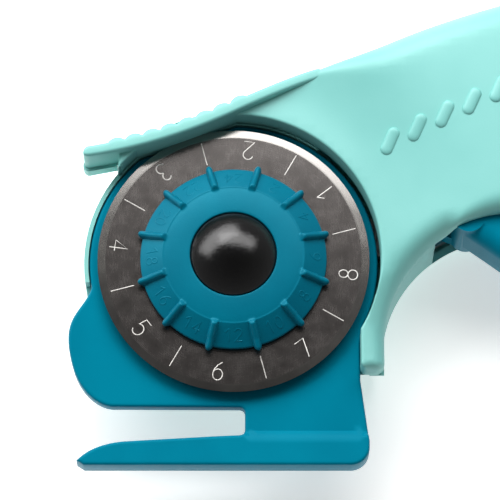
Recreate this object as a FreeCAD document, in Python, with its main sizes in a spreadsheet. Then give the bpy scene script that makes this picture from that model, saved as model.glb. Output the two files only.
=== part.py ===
import FreeCAD, Part
import math
import os
import Sketcher
from FreeCAD import Vector, Placement, Rotation

os.makedirs("parts", exist_ok=True)

doc = FreeCAD.newDocument("RotaryCutter")

# ---------------------------------------------------------------------------
# Driving dimensions, in millimetres and degrees. The tool lies on its back:
# +Z runs along the blade axis towards the knob, +X towards the handle's tail
# and +Y towards the thumb rest. The origin is on the blade axis, on the flat
# back of the housing.
# ---------------------------------------------------------------------------
SIZES = {
    # housing
    "seam_level": 12.9,
    "face_level": 22.0,
    "rim_level": 17.8,
    "wall_back": 2.4,
    "housing_round": 3.7,
    "recess_radius": 24.35,
    "head_radius": 24.8,
    "handle_cavity": 7.1,
    "thumb_thick": 1.8,
    "thumb_front": 19.6,
    "thumb_back": 10.4,
    "ridge_radius": 1.1,
    "screw_boss": 4.2,
    "screw_clear": 1.6,
    "screw_pilot": 1.25,
    "screw_radius": 1.2,
    "screw_head": 2.7,
    "hang_radius": 3.2,
    # guard and foot plate
    "plate_back": 10.0,
    "plate_thick": 2.8,
    "plate_radius": 23.9,
    "foot_back": 9.2,
    "foot_front": 14.2,
    "sole_level": -34.6,
    "slot_half": 5.7,
    # blade group
    "blade_radius": 22.5,
    "blade_thick": 0.3,
    "blade_level": 14.4,
    "bevel_width": 1.3,
    "blade_hole": 4.05,
    "blade_drop": 8.5,
    "post_radius": 3.0,
    "hub_radius": 4.2,
    "hub_bore": 3.05,
    "hub_flange": 7.2,
    "knob_radius": 15.4,
    "knob_rib_reach": 16.3,
    "knob_face": 11.7,
    "knob_level": 15.0,
    "knob_height": 3.3,
    "button_radius": 7.05,
    "button_rise": 3.0,
    # trigger group
    "pivot_x": 28.5,
    "pivot_y": 6.0,
    "pin_radius": 1.75,
    "pin_clear": 0.04,
    "trigger_back": 6.0,
    "trigger_width": 12.0,
    "web_back": 5.2,
    "web_thick": 3.4,
    "arm_back": 3.4,
    "arm_thick": 1.8,
    "drive_radius": 2.0,
}

sheet = doc.addObject("Spreadsheet::Sheet", "Sizes")
for row, (alias, value) in enumerate(SIZES.items(), start=1):
    sheet.set("A%d" % row, alias)
    sheet.set("B%d" % row, repr(value))
    sheet.setAlias("B%d" % row, alias)
doc.recompute()

Z_AXIS = Vector(0, 0, 1)
pivot = Vector(SIZES["pivot_x"], SIZES["pivot_y"], 0)
drive_point = Vector(0, SIZES["pivot_y"] + SIZES["blade_drop"] / 2, 0)


def size(alias):
    """The sheet's value of one driving dimension."""
    return float(sheet.get(alias))


# ---------------------------------------------------------------------------
# Helpers
# ---------------------------------------------------------------------------
def line(start, end):
    return Part.LineSegment(Vector(*start), Vector(*end))


def arc(start, through, end):
    return Part.Arc(Vector(*start), Vector(*through), Vector(*end))


def circle(centre, radius):
    return Part.Circle(Vector(*centre), Z_AXIS, radius)


def curve(*points, **tangents):
    """A smooth curve through the points, with end directions if given."""
    spline = Part.BSplineCurve()
    places = [Vector(*p) for p in points]
    if tangents:
        first = Vector(*tangents["first"])
        last = Vector(*tangents["last"])
        spline.interpolate(Points=places, InitialTangent=first, FinalTangent=last)
    else:
        spline.interpolate(places)
    return spline


def polygon(points):
    """Straight lines joining the points and back to the first."""
    return [line(a, b) for a, b in zip(points, points[1:] + points[:1])]


def polar(radius, degrees, centre=(0, 0)):
    turn = math.radians(degrees)
    return (centre[0] + radius * math.cos(turn), centre[1] + radius * math.sin(turn))


def flat(point):
    return (point[0], point[1], 0)


def new_body(label):
    body = doc.addObject("PartDesign::Body", label)
    body.Label = label
    body.Placement = Placement(Vector(0, 0, 0), Rotation())
    return body


def sketch(body, name, shapes, level=None, plane="XY_Plane"):
    """A sketch on one of the body's own planes, lifted by a sheet expression."""
    made = body.newObject("Sketcher::SketchObject", name)
    support = [f for f in body.Origin.OriginFeatures if f.Role == plane][0]
    made.AttachmentSupport = [(support, "")]
    made.MapMode = "FlatFace"
    if level:
        made.setExpression(".AttachmentOffset.Base.z", level)
    for shape in shapes:
        made.addGeometry(shape, False)
    join_ends(made)
    doc.recompute()
    return made


def ring_sketch(body, name, places, radius, level):
    return sketch(body, name, [circle(flat(p), radius) for p in places], level)


def join_ends(made):
    """Constrain end points that lie together, so each loop stays closed."""
    ends = []
    for index, shape in enumerate(made.Geometry):
        if isinstance(shape, Part.Circle):
            continue
        ends.append((index, 1, made.getPoint(index, 1)))
        ends.append((index, 2, made.getPoint(index, 2)))
    for count, (index, side, place) in enumerate(ends):
        for other, other_side, other_place in ends[count + 1:]:
            if other != index and (place - other_place).Length < 1e-5:
                made.addConstraint(Sketcher.Constraint("Coincident", index, side, other, other_side))


def pad(body, made, name, length, reverse=False):
    feature = body.newObject("PartDesign::Pad", name)
    feature.Profile = made
    feature.setExpression("Length", length)
    feature.Reversed = reverse
    made.Visibility = False
    doc.recompute()
    return feature


def pocket(body, made, name, length, reverse=False):
    """Cut along -Z of the sketch, or along +Z when reversed; must remove something."""
    before = body.Shape.Volume
    feature = body.newObject("PartDesign::Pocket", name)
    feature.Profile = made
    feature.setExpression("Length", length)
    feature.Reversed = reverse
    made.Visibility = False
    doc.recompute()
    if before - body.Shape.Volume < 1e-3:
        raise RuntimeError(body.Label + ": " + name + " cuts nothing")
    return feature


def turned(body, made, name, cut=False):
    """A full turn of a sketch on the XZ plane about the vertical axis."""
    kind = "PartDesign::Groove" if cut else "PartDesign::Revolution"
    feature = body.newObject(kind, name)
    feature.Profile = made
    feature.ReferenceAxis = (made, ["V_Axis"])
    feature.Angle = 360.0
    doc.recompute()
    return feature


def fillet(body, name, radius, choose):
    """Round the edges of the body's tip that the test picks."""
    tip = body.Tip
    names = ["Edge%d" % (n + 1) for n, e in enumerate(tip.Shape.Edges) if choose(e)]
    feature = body.newObject("PartDesign::Fillet", name)
    feature.Base = (tip, names)
    feature.setExpression("Radius", radius)
    doc.recompute()
    if not feature.isValid() or feature.Shape.isNull():
        raise RuntimeError(body.Label + ": " + name + " fails")
    return feature


def chamfer(body, name, width, choose):
    tip = body.Tip
    names = ["Edge%d" % (n + 1) for n, e in enumerate(tip.Shape.Edges) if choose(e)]
    feature = body.newObject("PartDesign::Chamfer", name)
    feature.Base = (tip, names)
    feature.setExpression("Size", width)
    doc.recompute()
    if not feature.isValid() or feature.Shape.isNull():
        raise RuntimeError(body.Label + ": " + name + " fails")
    return feature


def at_level(edge, level):
    """True when the whole edge lies at one height."""
    box = edge.BoundBox
    return abs(box.ZMin - level) < 1e-4 and abs(box.ZMax - level) < 1e-4


def around(edge, centre, radius):
    """True for a round edge about a vertical axis through the centre."""
    found = edge.Curve
    if not isinstance(found, Part.Circle):
        return False
    gap = math.hypot(found.Center.x - centre[0], found.Center.y - centre[1])
    return gap < 1e-3 and abs(found.Radius - radius) < 1e-3


# ---------------------------------------------------------------------------
# Outlines shared by the two housing halves
# ---------------------------------------------------------------------------
LEFT_X = -19.1
RIM = size("recess_radius")
HEAD = size("head_radius")
rear_centre = (46.4, -14.65)
rear_radius = 21.6
lobe_inner = 20.9
lobe_bottom = -19.2

top_left = (LEFT_X, 18.95)
shoulder = (13.3, 31.7)
shoulder_run = (1, 0.45, 0)
head_top = [top_left, (-13.2, 20.4), (-5.2, 23.3), (2.7, 26.9), shoulder]
handle_top = [shoulder, (29.2, 38.4), (44.0, 43.4), (86.0, 50.3)]
crest = handle_top[-1]
tail_top = (137.5, 22.5)
tail_end = (141.2, 13.2)
tail_low = (134.0, 6.2)
belly = [(125.0, 7.8), (108.0, 14.2), (88.0, 16.3), (66.0, 11.2)]
belly_start = (rear_centre[0], rear_centre[1] + rear_radius)
lobe_side = (rear_centre[0] - rear_radius, rear_centre[1])


def head_edge():
    """The top edge over the head, from the upper left corner to the shoulder."""
    return curve(*[flat(p) for p in head_top], first=(1, 0.2, 0), last=shoulder_run)


def handle_outline():
    """From the shoulder round the handle to the bottom of the lobe."""
    lobe_out = lobe_side[0]
    return [
        curve(*[flat(p) for p in handle_top], first=shoulder_run, last=(1, 0, 0)),
        curve(flat(crest), (116.0, 41.0, 0), flat(tail_top), first=(1, 0, 0), last=(0.42, -1, 0)),
        arc(flat(tail_top), flat(tail_end), flat(tail_low)),
        curve(
            flat(tail_low), *[flat(p) for p in belly], flat(belly_start),
            first=(-1, -0.05, 0), last=(-1, 0, 0),
        ),
        arc(flat(belly_start), flat(polar(rear_radius, 135, rear_centre)), flat(lobe_side)),
        line(flat(lobe_side), (lobe_out, lobe_bottom, 0)),
    ]


def front_outline():
    """The front half behind the shoulder: handle, lobe and part of the recess edge."""
    low_angle = -math.degrees(math.acos(lobe_inner / RIM))
    high_angle = math.degrees(math.acos(shoulder[0] / RIM))
    low = polar(RIM, low_angle)
    high = polar(RIM, high_angle)
    return handle_outline() + [
        line((lobe_side[0], lobe_bottom, 0), (lobe_inner, lobe_bottom, 0)),
        line((lobe_inner, lobe_bottom, 0), flat(low)),
        arc(flat(low), flat(polar(RIM, (low_angle + high_angle) / 2)), flat(high)),
        line(flat(high), flat(shoulder)),
    ]


def front_bridge():
    """The narrow part of the front half, between the recess and the thumb rest."""
    low_angle = math.degrees(math.acos(shoulder[0] / RIM))
    high_angle = math.degrees(math.acos(LEFT_X / RIM))
    low = polar(RIM, low_angle)
    high = polar(RIM, high_angle)
    return [
        head_edge(),
        line(flat(shoulder), flat(low)),
        arc(flat(low), flat(polar(RIM, (low_angle + high_angle) / 2)), flat(high)),
        line(flat(high), flat(top_left)),
    ]


def back_outline():
    """The back half: handle, lobe and the round head behind the plate."""
    floor_y = -22.5
    low_angle = 180 + math.degrees(math.asin(-floor_y / HEAD))
    high_angle = math.degrees(math.acos(LEFT_X / HEAD))
    low = polar(HEAD, low_angle)
    high = polar(HEAD, high_angle)
    corner = (lobe_inner - 2.4, floor_y)
    return [head_edge()] + handle_outline() + [
        line((lobe_side[0], lobe_bottom, 0), (lobe_inner, lobe_bottom, 0)),
        line((lobe_inner, lobe_bottom, 0), flat(corner)),
        line(flat(corner), flat(low)),
        arc(flat(low), flat(polar(HEAD, (low_angle + high_angle) / 2)), flat(high)),
        line(flat(high), flat(top_left)),
    ]


def handle_hollow(left_x, left_low, left_high):
    """Inner outline of the handle, a wall's width inside the outer one."""
    start = (left_x, left_low)
    top = (left_x, left_high)
    return [
        line(flat(start), flat(top)),
        curve(
            flat(top), (60.0, 44.6, 0), (86.0, 47.6, 0), (114.0, 39.4, 0), (126.0, 29.0, 0),
            first=(1, 0.45, 0), last=(0.6, -1, 0),
        ),
        line((126.0, 29.0, 0), (122.0, 12.0, 0)),
        curve(
            (122.0, 12.0, 0), (108.0, 17.2, 0), (88.0, 19.0, 0), (66.0, 14.0, 0), flat(start),
            first=(-1, 0.4, 0), last=(-1, 0, 0),
        ),
    ]


screw_places = [(12.5, 27.0), (50.0, 36.5), (96.0, 43.0), (114.5, 17.5)]
hang_place = (131.5, 15.8)

# ---------------------------------------------------------------------------
# Back housing half
# ---------------------------------------------------------------------------
back = new_body("back_shell")
outline = sketch(back, "BackOutline", back_outline())
pad(back, outline, "BackPad", "Sizes.seam_level")


def on_handle(edge):
    """True for an edge whose middle is on the handle's side of the recess."""
    return edge.valueAt((edge.FirstParameter + edge.LastParameter) / 2).x > 24.0


fillet(back, "BackRound", "Sizes.housing_round", lambda e: at_level(e, 0.0) and on_handle(e))

# Hollow of the handle and of the head, down to the back wall
hollow = sketch(back, "BackHollow", handle_hollow(42.0, 9.6, 39.8), "Sizes.seam_level")
pocket(back, hollow, "BackHandleCut", "Sizes.seam_level - Sizes.wall_back")
head_hollow = sketch(back, "HeadHollow", [circle((0, 0, 0), 20.6)], "Sizes.plate_back")
neck = [
    (14.0, 0.0), (23.8, -5.5), (26.8, -1.0), (30.2, 1.6), (33.6, 4.35), (42.5, 9.6), (42.5, 24.0),
    (14.0, 20.0),
]
pocket(back, head_hollow, "HeadCut", "Sizes.plate_back - Sizes.wall_back")
neck_hollow = sketch(back, "NeckHollow", polygon([flat(p) for p in neck]), "Sizes.seam_level")
pocket(back, neck_hollow, "NeckCut", "Sizes.seam_level - Sizes.wall_back")

# Seat of the guard plate: inside the head's rim above, over it below
seat = [
    arc(flat(polar(24.1, 188)), flat(polar(24.1, 160)), flat(polar(24.1, 131))),
    line(flat(polar(24.1, 131)), flat(polar(24.1, 89))),
    arc(flat(polar(24.1, 89)), flat(polar(24.1, 30)), flat(polar(24.1, -23))),
    line(flat(polar(24.1, -23)), (22.4, -12.5, 0)),
    line((22.4, -12.5, 0), (22.4, -24.0, 0)),
    line((22.4, -24.0, 0), (-28.0, -24.0, 0)),
    line((-28.0, -24.0, 0), (-28.0, -3.0, 0)),
    line((-28.0, -3.0, 0), flat(polar(24.1, 188))),
]
seat_sketch = sketch(back, "PlateSeat", seat, "Sizes.seam_level")
pocket(back, seat_sketch, "PlateSeatCut", "Sizes.seam_level - Sizes.plate_back")

# The lobe and the head's floor slope up towards the back
slope_start = lobe_bottom - 0.2
lobe_slope = polygon([(slope_start, size("seam_level"), 0), (slope_start, -0.2, 0), (-15.0, -0.2, 0)])
lobe_sketch = sketch(back, "LobeSlope", lobe_slope, "26.0", "YZ_Plane")
pocket(back, lobe_sketch, "LobeSlopeCut", "26.0 - %s" % (lobe_inner - 0.05))
floor_slope = polygon([(-22.6, 5.4, 0), (-22.6, -0.2, 0), (-20.9, -0.2, 0)])
floor_sketch = sketch(back, "FloorSlope", floor_slope, "18.4", "YZ_Plane")
pocket(back, floor_sketch, "FloorSlopeCut", "44.0")

# Opening along the belly, through which the trigger comes out
mouth = [(33.4, 1.0), (66.0, 1.0), (66.0, 17.0), (38.0, 17.0), (33.4, 8.0)]
mouth_sketch = sketch(back, "TriggerMouth", polygon([flat(p) for p in mouth]), "Sizes.seam_level")
pocket(back, mouth_sketch, "TriggerMouthCut", "Sizes.seam_level - Sizes.arm_back + 0.2")

# Screw bosses, the pivot boss, the plate's screw posts and the carriage's guides
bosses = ring_sketch(back, "ScrewBosses", screw_places[1:], size("screw_boss"), "Sizes.wall_back")
pad(back, bosses, "ScrewBossPad", "Sizes.seam_level - Sizes.wall_back")
pivot_boss = ring_sketch(back, "PivotBoss", [(pivot.x, pivot.y)], 3.6, "Sizes.wall_back")
pad(back, pivot_boss, "PivotBossPad", "0.6")
plate_screws_at = [(-15.0, 6.0), (-13.0, -12.5), (14.5, -12.0), (9.5, 16.5)]
posts = ring_sketch(back, "PlatePosts", plate_screws_at, 2.6, "Sizes.wall_back")
pad(back, posts, "PlatePostPad", "Sizes.plate_back - Sizes.wall_back")
guides = []
for left, low, right, high in [(-11.9, -15.0, -10.35, 14.0), (10.35, -15.0, 11.9, -2.5)]:
    guides += polygon([(left, low, 0), (right, low, 0), (right, high, 0), (left, high, 0)])
guide_sketch = sketch(back, "CarriageGuides", guides, "Sizes.wall_back")
pad(back, guide_sketch, "CarriageGuidePad", "Sizes.plate_back - Sizes.wall_back - 0.1")

# Holes
heads = ring_sketch(back, "HeadWells", screw_places, size("screw_head") + 0.3, None)
pocket(back, heads, "HeadWellCut", "3.0", reverse=True)
shanks = ring_sketch(back, "ShankHoles", screw_places, size("screw_clear"), None)
pocket(back, shanks, "ShankHoleCut", "Sizes.seam_level", reverse=True)
pilots = ring_sketch(back, "PostPilots", plate_screws_at, size("screw_radius"), "Sizes.plate_back")
pocket(back, pilots, "PostPilotCut", "6.0")
pin_socket = ring_sketch(back, "PinSocket", [(pivot.x, pivot.y)], size("pin_radius"), "Sizes.wall_back + 0.6")
pocket(back, pin_socket, "PinSocketCut", "2.0")

# Tail: a solid tube round the hanging hole
hang = ring_sketch(back, "HangHole", [hang_place], size("hang_radius"), None)
pocket(back, hang, "HangHoleCut", "Sizes.seam_level", reverse=True)

# The back layer of the thumb rest, a short tongue past the head
tongue = [
    arc((-24.2, 15.9, 0), (-25.15, 17.0, 0), (-24.0, 18.0, 0)),
    line((-24.0, 18.0, 0), (LEFT_X + 0.5, 18.95, 0)),
    line((LEFT_X + 0.5, 18.95, 0), (LEFT_X + 0.5, 17.0, 0)),
    line((LEFT_X + 0.5, 17.0, 0), (-24.2, 15.9, 0)),
]
tongue_sketch = sketch(back, "ThumbTongue", tongue, "Sizes.thumb_back")
pad(back, tongue_sketch, "ThumbTonguePad", "Sizes.seam_level - Sizes.thumb_back")

# ---------------------------------------------------------------------------
# Front housing half
# ---------------------------------------------------------------------------
front = new_body("front_shell")
outline = sketch(front, "FrontOutline", front_outline(), "Sizes.seam_level")
pad(front, outline, "FrontPad", "Sizes.face_level - Sizes.seam_level")
fillet(front, "FrontRound", "Sizes.housing_round", lambda e: at_level(e, size("face_level")) and on_handle(e))
bridge = sketch(front, "FrontBridge", front_bridge(), "Sizes.seam_level")
pad(front, bridge, "FrontBridgePad", "Sizes.face_level - Sizes.seam_level")

# The face dips towards the round recess
rim_z = size("rim_level")
face_z = size("face_level")
dip = [
    line((0, rim_z, 0), (27.0, rim_z, 0)),
    curve((27.0, rim_z, 0), (40.0, 20.3, 0), (58.0, face_z, 0), first=(1, 0, 0), last=(1, 0, 0)),
    line((58.0, face_z, 0), (58.0, face_z + 6.0, 0)),
    line((58.0, face_z + 6.0, 0), (0, face_z + 6.0, 0)),
    line((0, face_z + 6.0, 0), (0, rim_z, 0)),
]
dip_sketch = sketch(front, "FaceDip", dip, None, "XZ_Plane")
turned(front, dip_sketch, "FaceDipCut", cut=True)

# Hollow of the handle under the front face
hollow = sketch(front, "FrontHollow", handle_hollow(58.0, 12.4, 44.0), "Sizes.seam_level")
pocket(front, hollow, "FrontHandleCut", "Sizes.handle_cavity", reverse=True)
neck_front = [(36.0, 8.2), (60.0, 13.0), (60.0, 40.0), (40.0, 34.0), (36.0, 24.0)]
neck_sketch = sketch(front, "FrontNeck", polygon([flat(p) for p in neck_front]), "Sizes.seam_level")
pocket(front, neck_sketch, "FrontNeckCut", "Sizes.handle_cavity - 1.8", reverse=True)

# Opening along the belly, through which the trigger comes out
mouth_sketch = sketch(front, "FrontMouth", polygon([flat(p) for p in mouth]), "Sizes.seam_level")
pocket(front, mouth_sketch, "FrontMouthCut", "Sizes.handle_cavity - 1.8", reverse=True)

# Screw bosses with pilot holes from the seam, and the pivot pin's socket
bosses = ring_sketch(front, "FrontBosses", screw_places[1:], size("screw_boss"), "Sizes.seam_level")
pad(front, bosses, "FrontBossPad", "Sizes.handle_cavity")
pilots = ring_sketch(front, "ScrewPilots", screw_places, size("screw_pilot"), "Sizes.seam_level")
pocket(front, pilots, "ScrewPilotCut", "3.6", reverse=True)
pin_socket = ring_sketch(front, "FrontPinSocket", [(pivot.x, pivot.y)], size("pin_radius"), "Sizes.seam_level")
pocket(front, pin_socket, "FrontPinSocketCut", "3.6", reverse=True)
hang = ring_sketch(front, "FrontHangHole", [hang_place], size("hang_radius"), "Sizes.seam_level")
pocket(front, hang, "FrontHangHoleCut", "Sizes.face_level - Sizes.seam_level", reverse=True)

# Thumb rest: a thin shelf along the top edge that stands proud of the face
shelf_top = [(-24.0, 18.0), (-13.2, 20.55), (-5.2, 23.45), (2.7, 27.05), (10.0, 30.35), (14.5, 32.0)]
drop_y = size("thumb_thick")
shelf_low = [(x, y - drop_y) for x, y in shelf_top[1:]]
shelf = [
    curve(*[flat(p) for p in shelf_top], first=(1, 0.17, 0), last=(1, 0.3, 0)),
    line(flat(shelf_top[-1]), flat(shelf_low[-1])),
    curve(*[flat(p) for p in reversed(shelf_low)], (-24.2, 15.9, 0), first=(-1, -0.3, 0), last=(-1, -0.12, 0)),
    arc((-24.2, 15.9, 0), (-25.15, 17.0, 0), (-24.0, 18.0, 0)),
]
shelf_sketch = sketch(front, "ThumbShelf", shelf, "Sizes.seam_level")
pad(front, shelf_sketch, "ThumbShelfPad", "Sizes.thumb_front - Sizes.seam_level")

# The thumb rest runs out into the face at its right end
thumb_z = size("thumb_front")
run_out = polygon([
    (2.0, thumb_z, 0), (15.0, thumb_z - 0.9, 0), (15.0, thumb_z + 0.4, 0), (2.0, thumb_z + 0.4, 0),
])
run_out_sketch = sketch(front, "ThumbRunOut", run_out, None, "XZ_Plane")
pocket(front, run_out_sketch, "ThumbRunOutCut", "33.0")

# Ridges across the thumb rest
ridge_run = [(-18.6, 19.05), (-15.7, 19.65), (-12.8, 20.4), (-9.9, 21.4), (-7.0, 22.5), (-4.1, 23.75),
             (-1.2, 25.05), (1.7, 26.4)]
lift = size("ridge_radius") - 0.7
ridges = [circle((x + lift * 0.4, y - lift, 0), size("ridge_radius")) for x, y in ridge_run]
ridge_sketch = sketch(front, "ThumbRidges", ridges, "Sizes.seam_level")
pad(front, ridge_sketch, "ThumbRidgePad", "Sizes.thumb_front - Sizes.seam_level - 0.6")

# Slit in the recess wall for the blade on its way down
reach = size("blade_radius") + 0.7
drop = size("blade_drop")
slit = [
    arc((-reach, 0, 0), (0, reach, 0), (reach, 0, 0)),
    line((reach, 0, 0), (reach, -drop, 0)),
    arc((reach, -drop, 0), (0, -drop - reach, 0), (-reach, -drop, 0)),
    line((-reach, -drop, 0), (-reach, 0, 0)),
]
slit_sketch = sketch(front, "BladeSlit", slit, "Sizes.blade_level - 0.5")
pocket(front, slit_sketch, "BladeSlitCut", "1.4", reverse=True)

# ---------------------------------------------------------------------------
# Guard and foot plate
# ---------------------------------------------------------------------------
plate = new_body("guard_foot_plate")
sole_y = size("sole_level")
PLATE = size("plate_radius")
guard = [
    arc(flat(polar(PLATE, 190)), flat(polar(PLATE, 160)), flat(polar(PLATE, 131))),
    line(flat(polar(PLATE, 131)), flat(polar(PLATE, 89))),
    arc(flat(polar(PLATE, 89)), flat(polar(PLATE, 30)), flat(polar(PLATE, -26))),
    line(flat(polar(PLATE, -26)), (20.9, -14.0, 0)),
    line((20.9, -14.0, 0), (20.9, -20.1, 0)),
    line((20.9, -20.1, 0), (22.3, -30.4, 0)),
    line((22.3, -30.4, 0), (22.3, sole_y + 3.0, 0)),
    arc((22.3, sole_y + 3.0, 0), (21.4, sole_y + 0.9, 0), (19.3, sole_y, 0)),
    line((19.3, sole_y, 0), (-24.4, sole_y, 0)),
    line((-24.4, sole_y, 0), (-25.6, sole_y + 0.8, 0)),
    curve((-25.6, sole_y + 0.8, 0), (-22.4, -31.6, 0), (-17.1, -30.5, 0), first=(1, 1.1, 0), last=(1, 0.06, 0)),
    line((-17.1, -30.5, 0), (1.0, -29.45, 0)),
    arc((1.0, -29.45, 0), (1.7, -29.0, 0), (1.9, -28.4, 0)),
    line((1.9, -28.4, 0), (1.9, -25.6, 0)),
    arc((1.9, -25.6, 0), (1.65, -24.9, 0), (1.0, -24.6, 0)),
    line((1.0, -24.6, 0), (-19.8, -24.5, 0)),
    curve(
        (-19.8, -24.5, 0), (-24.3, -21.9, 0), (-26.7, -16.7, 0), (-26.7, -9.8, 0), flat(polar(PLATE, 190)),
        first=(-1, 0.05, 0), last=(0.25, 1, 0),
    ),
]
plate_sketch = sketch(plate, "PlateOutline", guard, "Sizes.plate_back")
pad(plate, plate_sketch, "PlatePad", "Sizes.plate_thick")

# The foot is thicker than the guard and flares towards the sole
foot = [
    line((22.3, -28.9, 0), (22.3, sole_y + 3.0, 0)),
    arc((22.3, sole_y + 3.0, 0), (21.4, sole_y + 0.9, 0), (19.3, sole_y, 0)),
    line((19.3, sole_y, 0), (-24.4, sole_y, 0)),
    line((-24.4, sole_y, 0), (-25.6, sole_y + 0.8, 0)),
    curve((-25.6, sole_y + 0.8, 0), (-22.4, -31.6, 0), (-17.1, -30.5, 0), first=(1, 1.1, 0), last=(1, 0.06, 0)),
    line((-17.1, -30.5, 0), (1.0, -29.45, 0)),
    line((1.0, -29.45, 0), (5.0, -28.9, 0)),
    line((5.0, -28.9, 0), (22.3, -28.9, 0)),
]
foot_sketch = sketch(plate, "FootOutline", foot, "Sizes.foot_back")
pad(plate, foot_sketch, "FootPad", "Sizes.foot_front - Sizes.foot_back")
front_z = size("plate_back") + size("plate_thick")
flare_top = -28.8
sections = {
    "FrontFlare": [
        (flare_top, front_z), (sole_y + 1.0, size("foot_front")), (flare_top, size("foot_front") + 1.0),
    ],
    "BackFlare": [(flare_top, size("plate_back")), (flare_top, 8.0), (sole_y + 1.0, size("foot_back"))],
}
for name, points in sections.items():
    wedge = sketch(plate, name, polygon([flat(p) for p in points]), "30.0", "YZ_Plane")
    pocket(plate, wedge, name + "Cut", "60.0")

# Slot for the hub, and countersunk holes for the plate screws
half = size("slot_half")
hub_slot = [
    arc((half, 0, 0), (0, half, 0), (-half, 0, 0)),
    line((-half, 0, 0), (-half, -drop, 0)),
    arc((-half, -drop, 0), (0, -drop - half, 0), (half, -drop, 0)),
    line((half, -drop, 0), (half, 0, 0)),
]
slot_sketch = sketch(plate, "HubSlot", hub_slot, "Sizes.plate_back + Sizes.plate_thick")
pocket(plate, slot_sketch, "HubSlotCut", "Sizes.plate_thick")
holes = ring_sketch(plate, "PlateHoles", plate_screws_at, 1.45, "Sizes.plate_back + Sizes.plate_thick")
pocket(plate, holes, "PlateHoleCut", "Sizes.plate_thick")
chamfer(
    plate, "Countersinks", "1.35",
    lambda e: at_level(e, front_z) and any(around(e, place, 1.45) for place in plate_screws_at),
)

# ---------------------------------------------------------------------------
# Blade group: pieces turned about the blade axis
# ---------------------------------------------------------------------------


def turned_body(label, profile, outline_name="Profile"):
    """A body turned from a closed profile of (radius, height) points."""
    body = new_body(label)
    made = sketch(body, label + outline_name, polygon([flat(p) for p in profile]), None, "XZ_Plane")
    turned(body, made, label + "Turn")
    return body


blade_z = size("blade_level")
blade_top = blade_z + size("blade_thick")
edge = size("blade_radius")
bevel = size("bevel_width")
blade = turned_body("blade", [
    (size("blade_hole"), blade_z), (edge, blade_z), (edge, blade_z + 0.05), (edge - bevel, blade_top),
    (size("blade_hole"), blade_top),
])

carriage = new_body("blade_carriage")
block = polygon([flat(p) for p in [(-10.0, -9.3), (10.0, -9.3), (10.0, 13.4), (-10.0, 13.4)]])
block_sketch = sketch(carriage, "BlockOutline", block, "5.9")
pad(carriage, block_sketch, "BlockPad", "3.75")
well = sketch(carriage, "DetentWell", [circle((0, 0, 0), 8.1)], "9.65")
pocket(carriage, well, "DetentWellCut", "2.1")
groove = polygon([flat(p) for p in [(-9.2, -8.7), (9.2, -8.7), (9.2, -6.4), (-9.2, -6.4)]])
groove_sketch = sketch(carriage, "SpringGroove", groove, "9.65")
pocket(carriage, groove_sketch, "SpringGrooveCut", "2.1")
post_hole = ring_sketch(carriage, "PostHole", [(0, 0)], size("post_radius"), "9.65")
pocket(carriage, post_hole, "PostHoleCut", "3.75")
drive_hole = ring_sketch(carriage, "DriveHole", [(0, drive_point.y)], size("drive_radius"), "9.65")
pocket(carriage, drive_hole, "DriveHoleCut", "3.75")

post_r = size("post_radius")
post = turned_body("blade_post", [
    (0, 5.3), (5.0, 5.3), (5.0, 5.9), (post_r, 5.9), (post_r, 15.93), (post_r - 0.5, 15.93),
    (post_r - 0.5, 16.5),
    (post_r, 16.5), (post_r, 16.9), (0, 16.9),
])

hub_r = size("hub_radius")
bore = size("hub_bore")
flange = size("hub_flange")
hub = turned_body("index_hub", [
    (bore, 7.65), (hub_r, 7.65), (hub_r, 13.1), (flange, 13.1), (flange, blade_z), (4.0, blade_z), (4.0, 15.9),
    (bore, 15.9),
])

wheel = new_body("detent_wheel")
rim = sketch(wheel, "WheelOutline", [circle((0, 0, 0), 7.5), circle((0, 0, 0), hub_r)], "7.8")
pad(wheel, rim, "WheelPad", "1.8")
notch = sketch(wheel, "WheelNotch", [circle(flat(polar(8.1, 270)), 1.3)], "9.6")
notch_cut = pocket(wheel, notch, "WheelNotchCut", "1.8")
notches = wheel.newObject("PartDesign::PolarPattern", "WheelNotches")
notches.Originals = [notch_cut]
notches.Axis = (rim, ["N_Axis"])
notches.Angle = 360.0
notches.Occurrences = 8
wheel.Tip = notches
doc.recompute()

washer = turned_body("pressure_washer", [
    (4.3, blade_top + 0.02), (8.0, blade_top + 0.02), (8.0, 14.98), (4.3, 14.98),
])

# Index knob: a bevelled disc with ribs, open in the middle for the button
knob_z = size("knob_level")
knob_top = knob_z + size("knob_height")
knob_r = size("knob_radius")
button_r = size("button_radius")
knob = turned_body("index_knob", [
    (4.06, knob_z), (knob_r, knob_z), (knob_r, knob_z + 0.7), (size("knob_face"), knob_top - 0.25),
    (size("knob_face") - 0.8, knob_top), (button_r + 0.1, knob_top), (button_r + 0.1, knob_top - 0.65),
    (8.0, knob_top - 0.65), (8.0, knob_z + 0.9), (4.06, knob_z + 0.9),
])
rib = [
    line((11.2, -0.75, 0), (size("knob_rib_reach") - 0.75, -0.75, 0)),
    arc(
        (size("knob_rib_reach") - 0.75, -0.75, 0), (size("knob_rib_reach"), 0, 0),
        (size("knob_rib_reach") - 0.75, 0.75, 0),
    ),
    line((size("knob_rib_reach") - 0.75, 0.75, 0), (11.2, 0.75, 0)),
    line((11.2, 0.75, 0), (11.2, -0.75, 0)),
]
turn = Rotation(Z_AXIS, 15.0)
rib_sketch = sketch(knob, "KnobRib", rib, "Sizes.knob_level")
rib_sketch.AttachmentOffset = Placement(Vector(0, 0, 0), turn)
rib_sketch.setExpression(".AttachmentOffset.Base.z", "Sizes.knob_level")
rib_pad = pad(knob, rib_sketch, "KnobRibPad", "Sizes.knob_height - 0.55")
ribs = knob.newObject("PartDesign::PolarPattern", "KnobRibs")
ribs.Originals = [rib_pad]
ribs.Axis = (rib_sketch, ["N_Axis"])
ribs.Angle = 360.0
ribs.Occurrences = 12
knob.Tip = ribs
doc.recompute()

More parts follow.
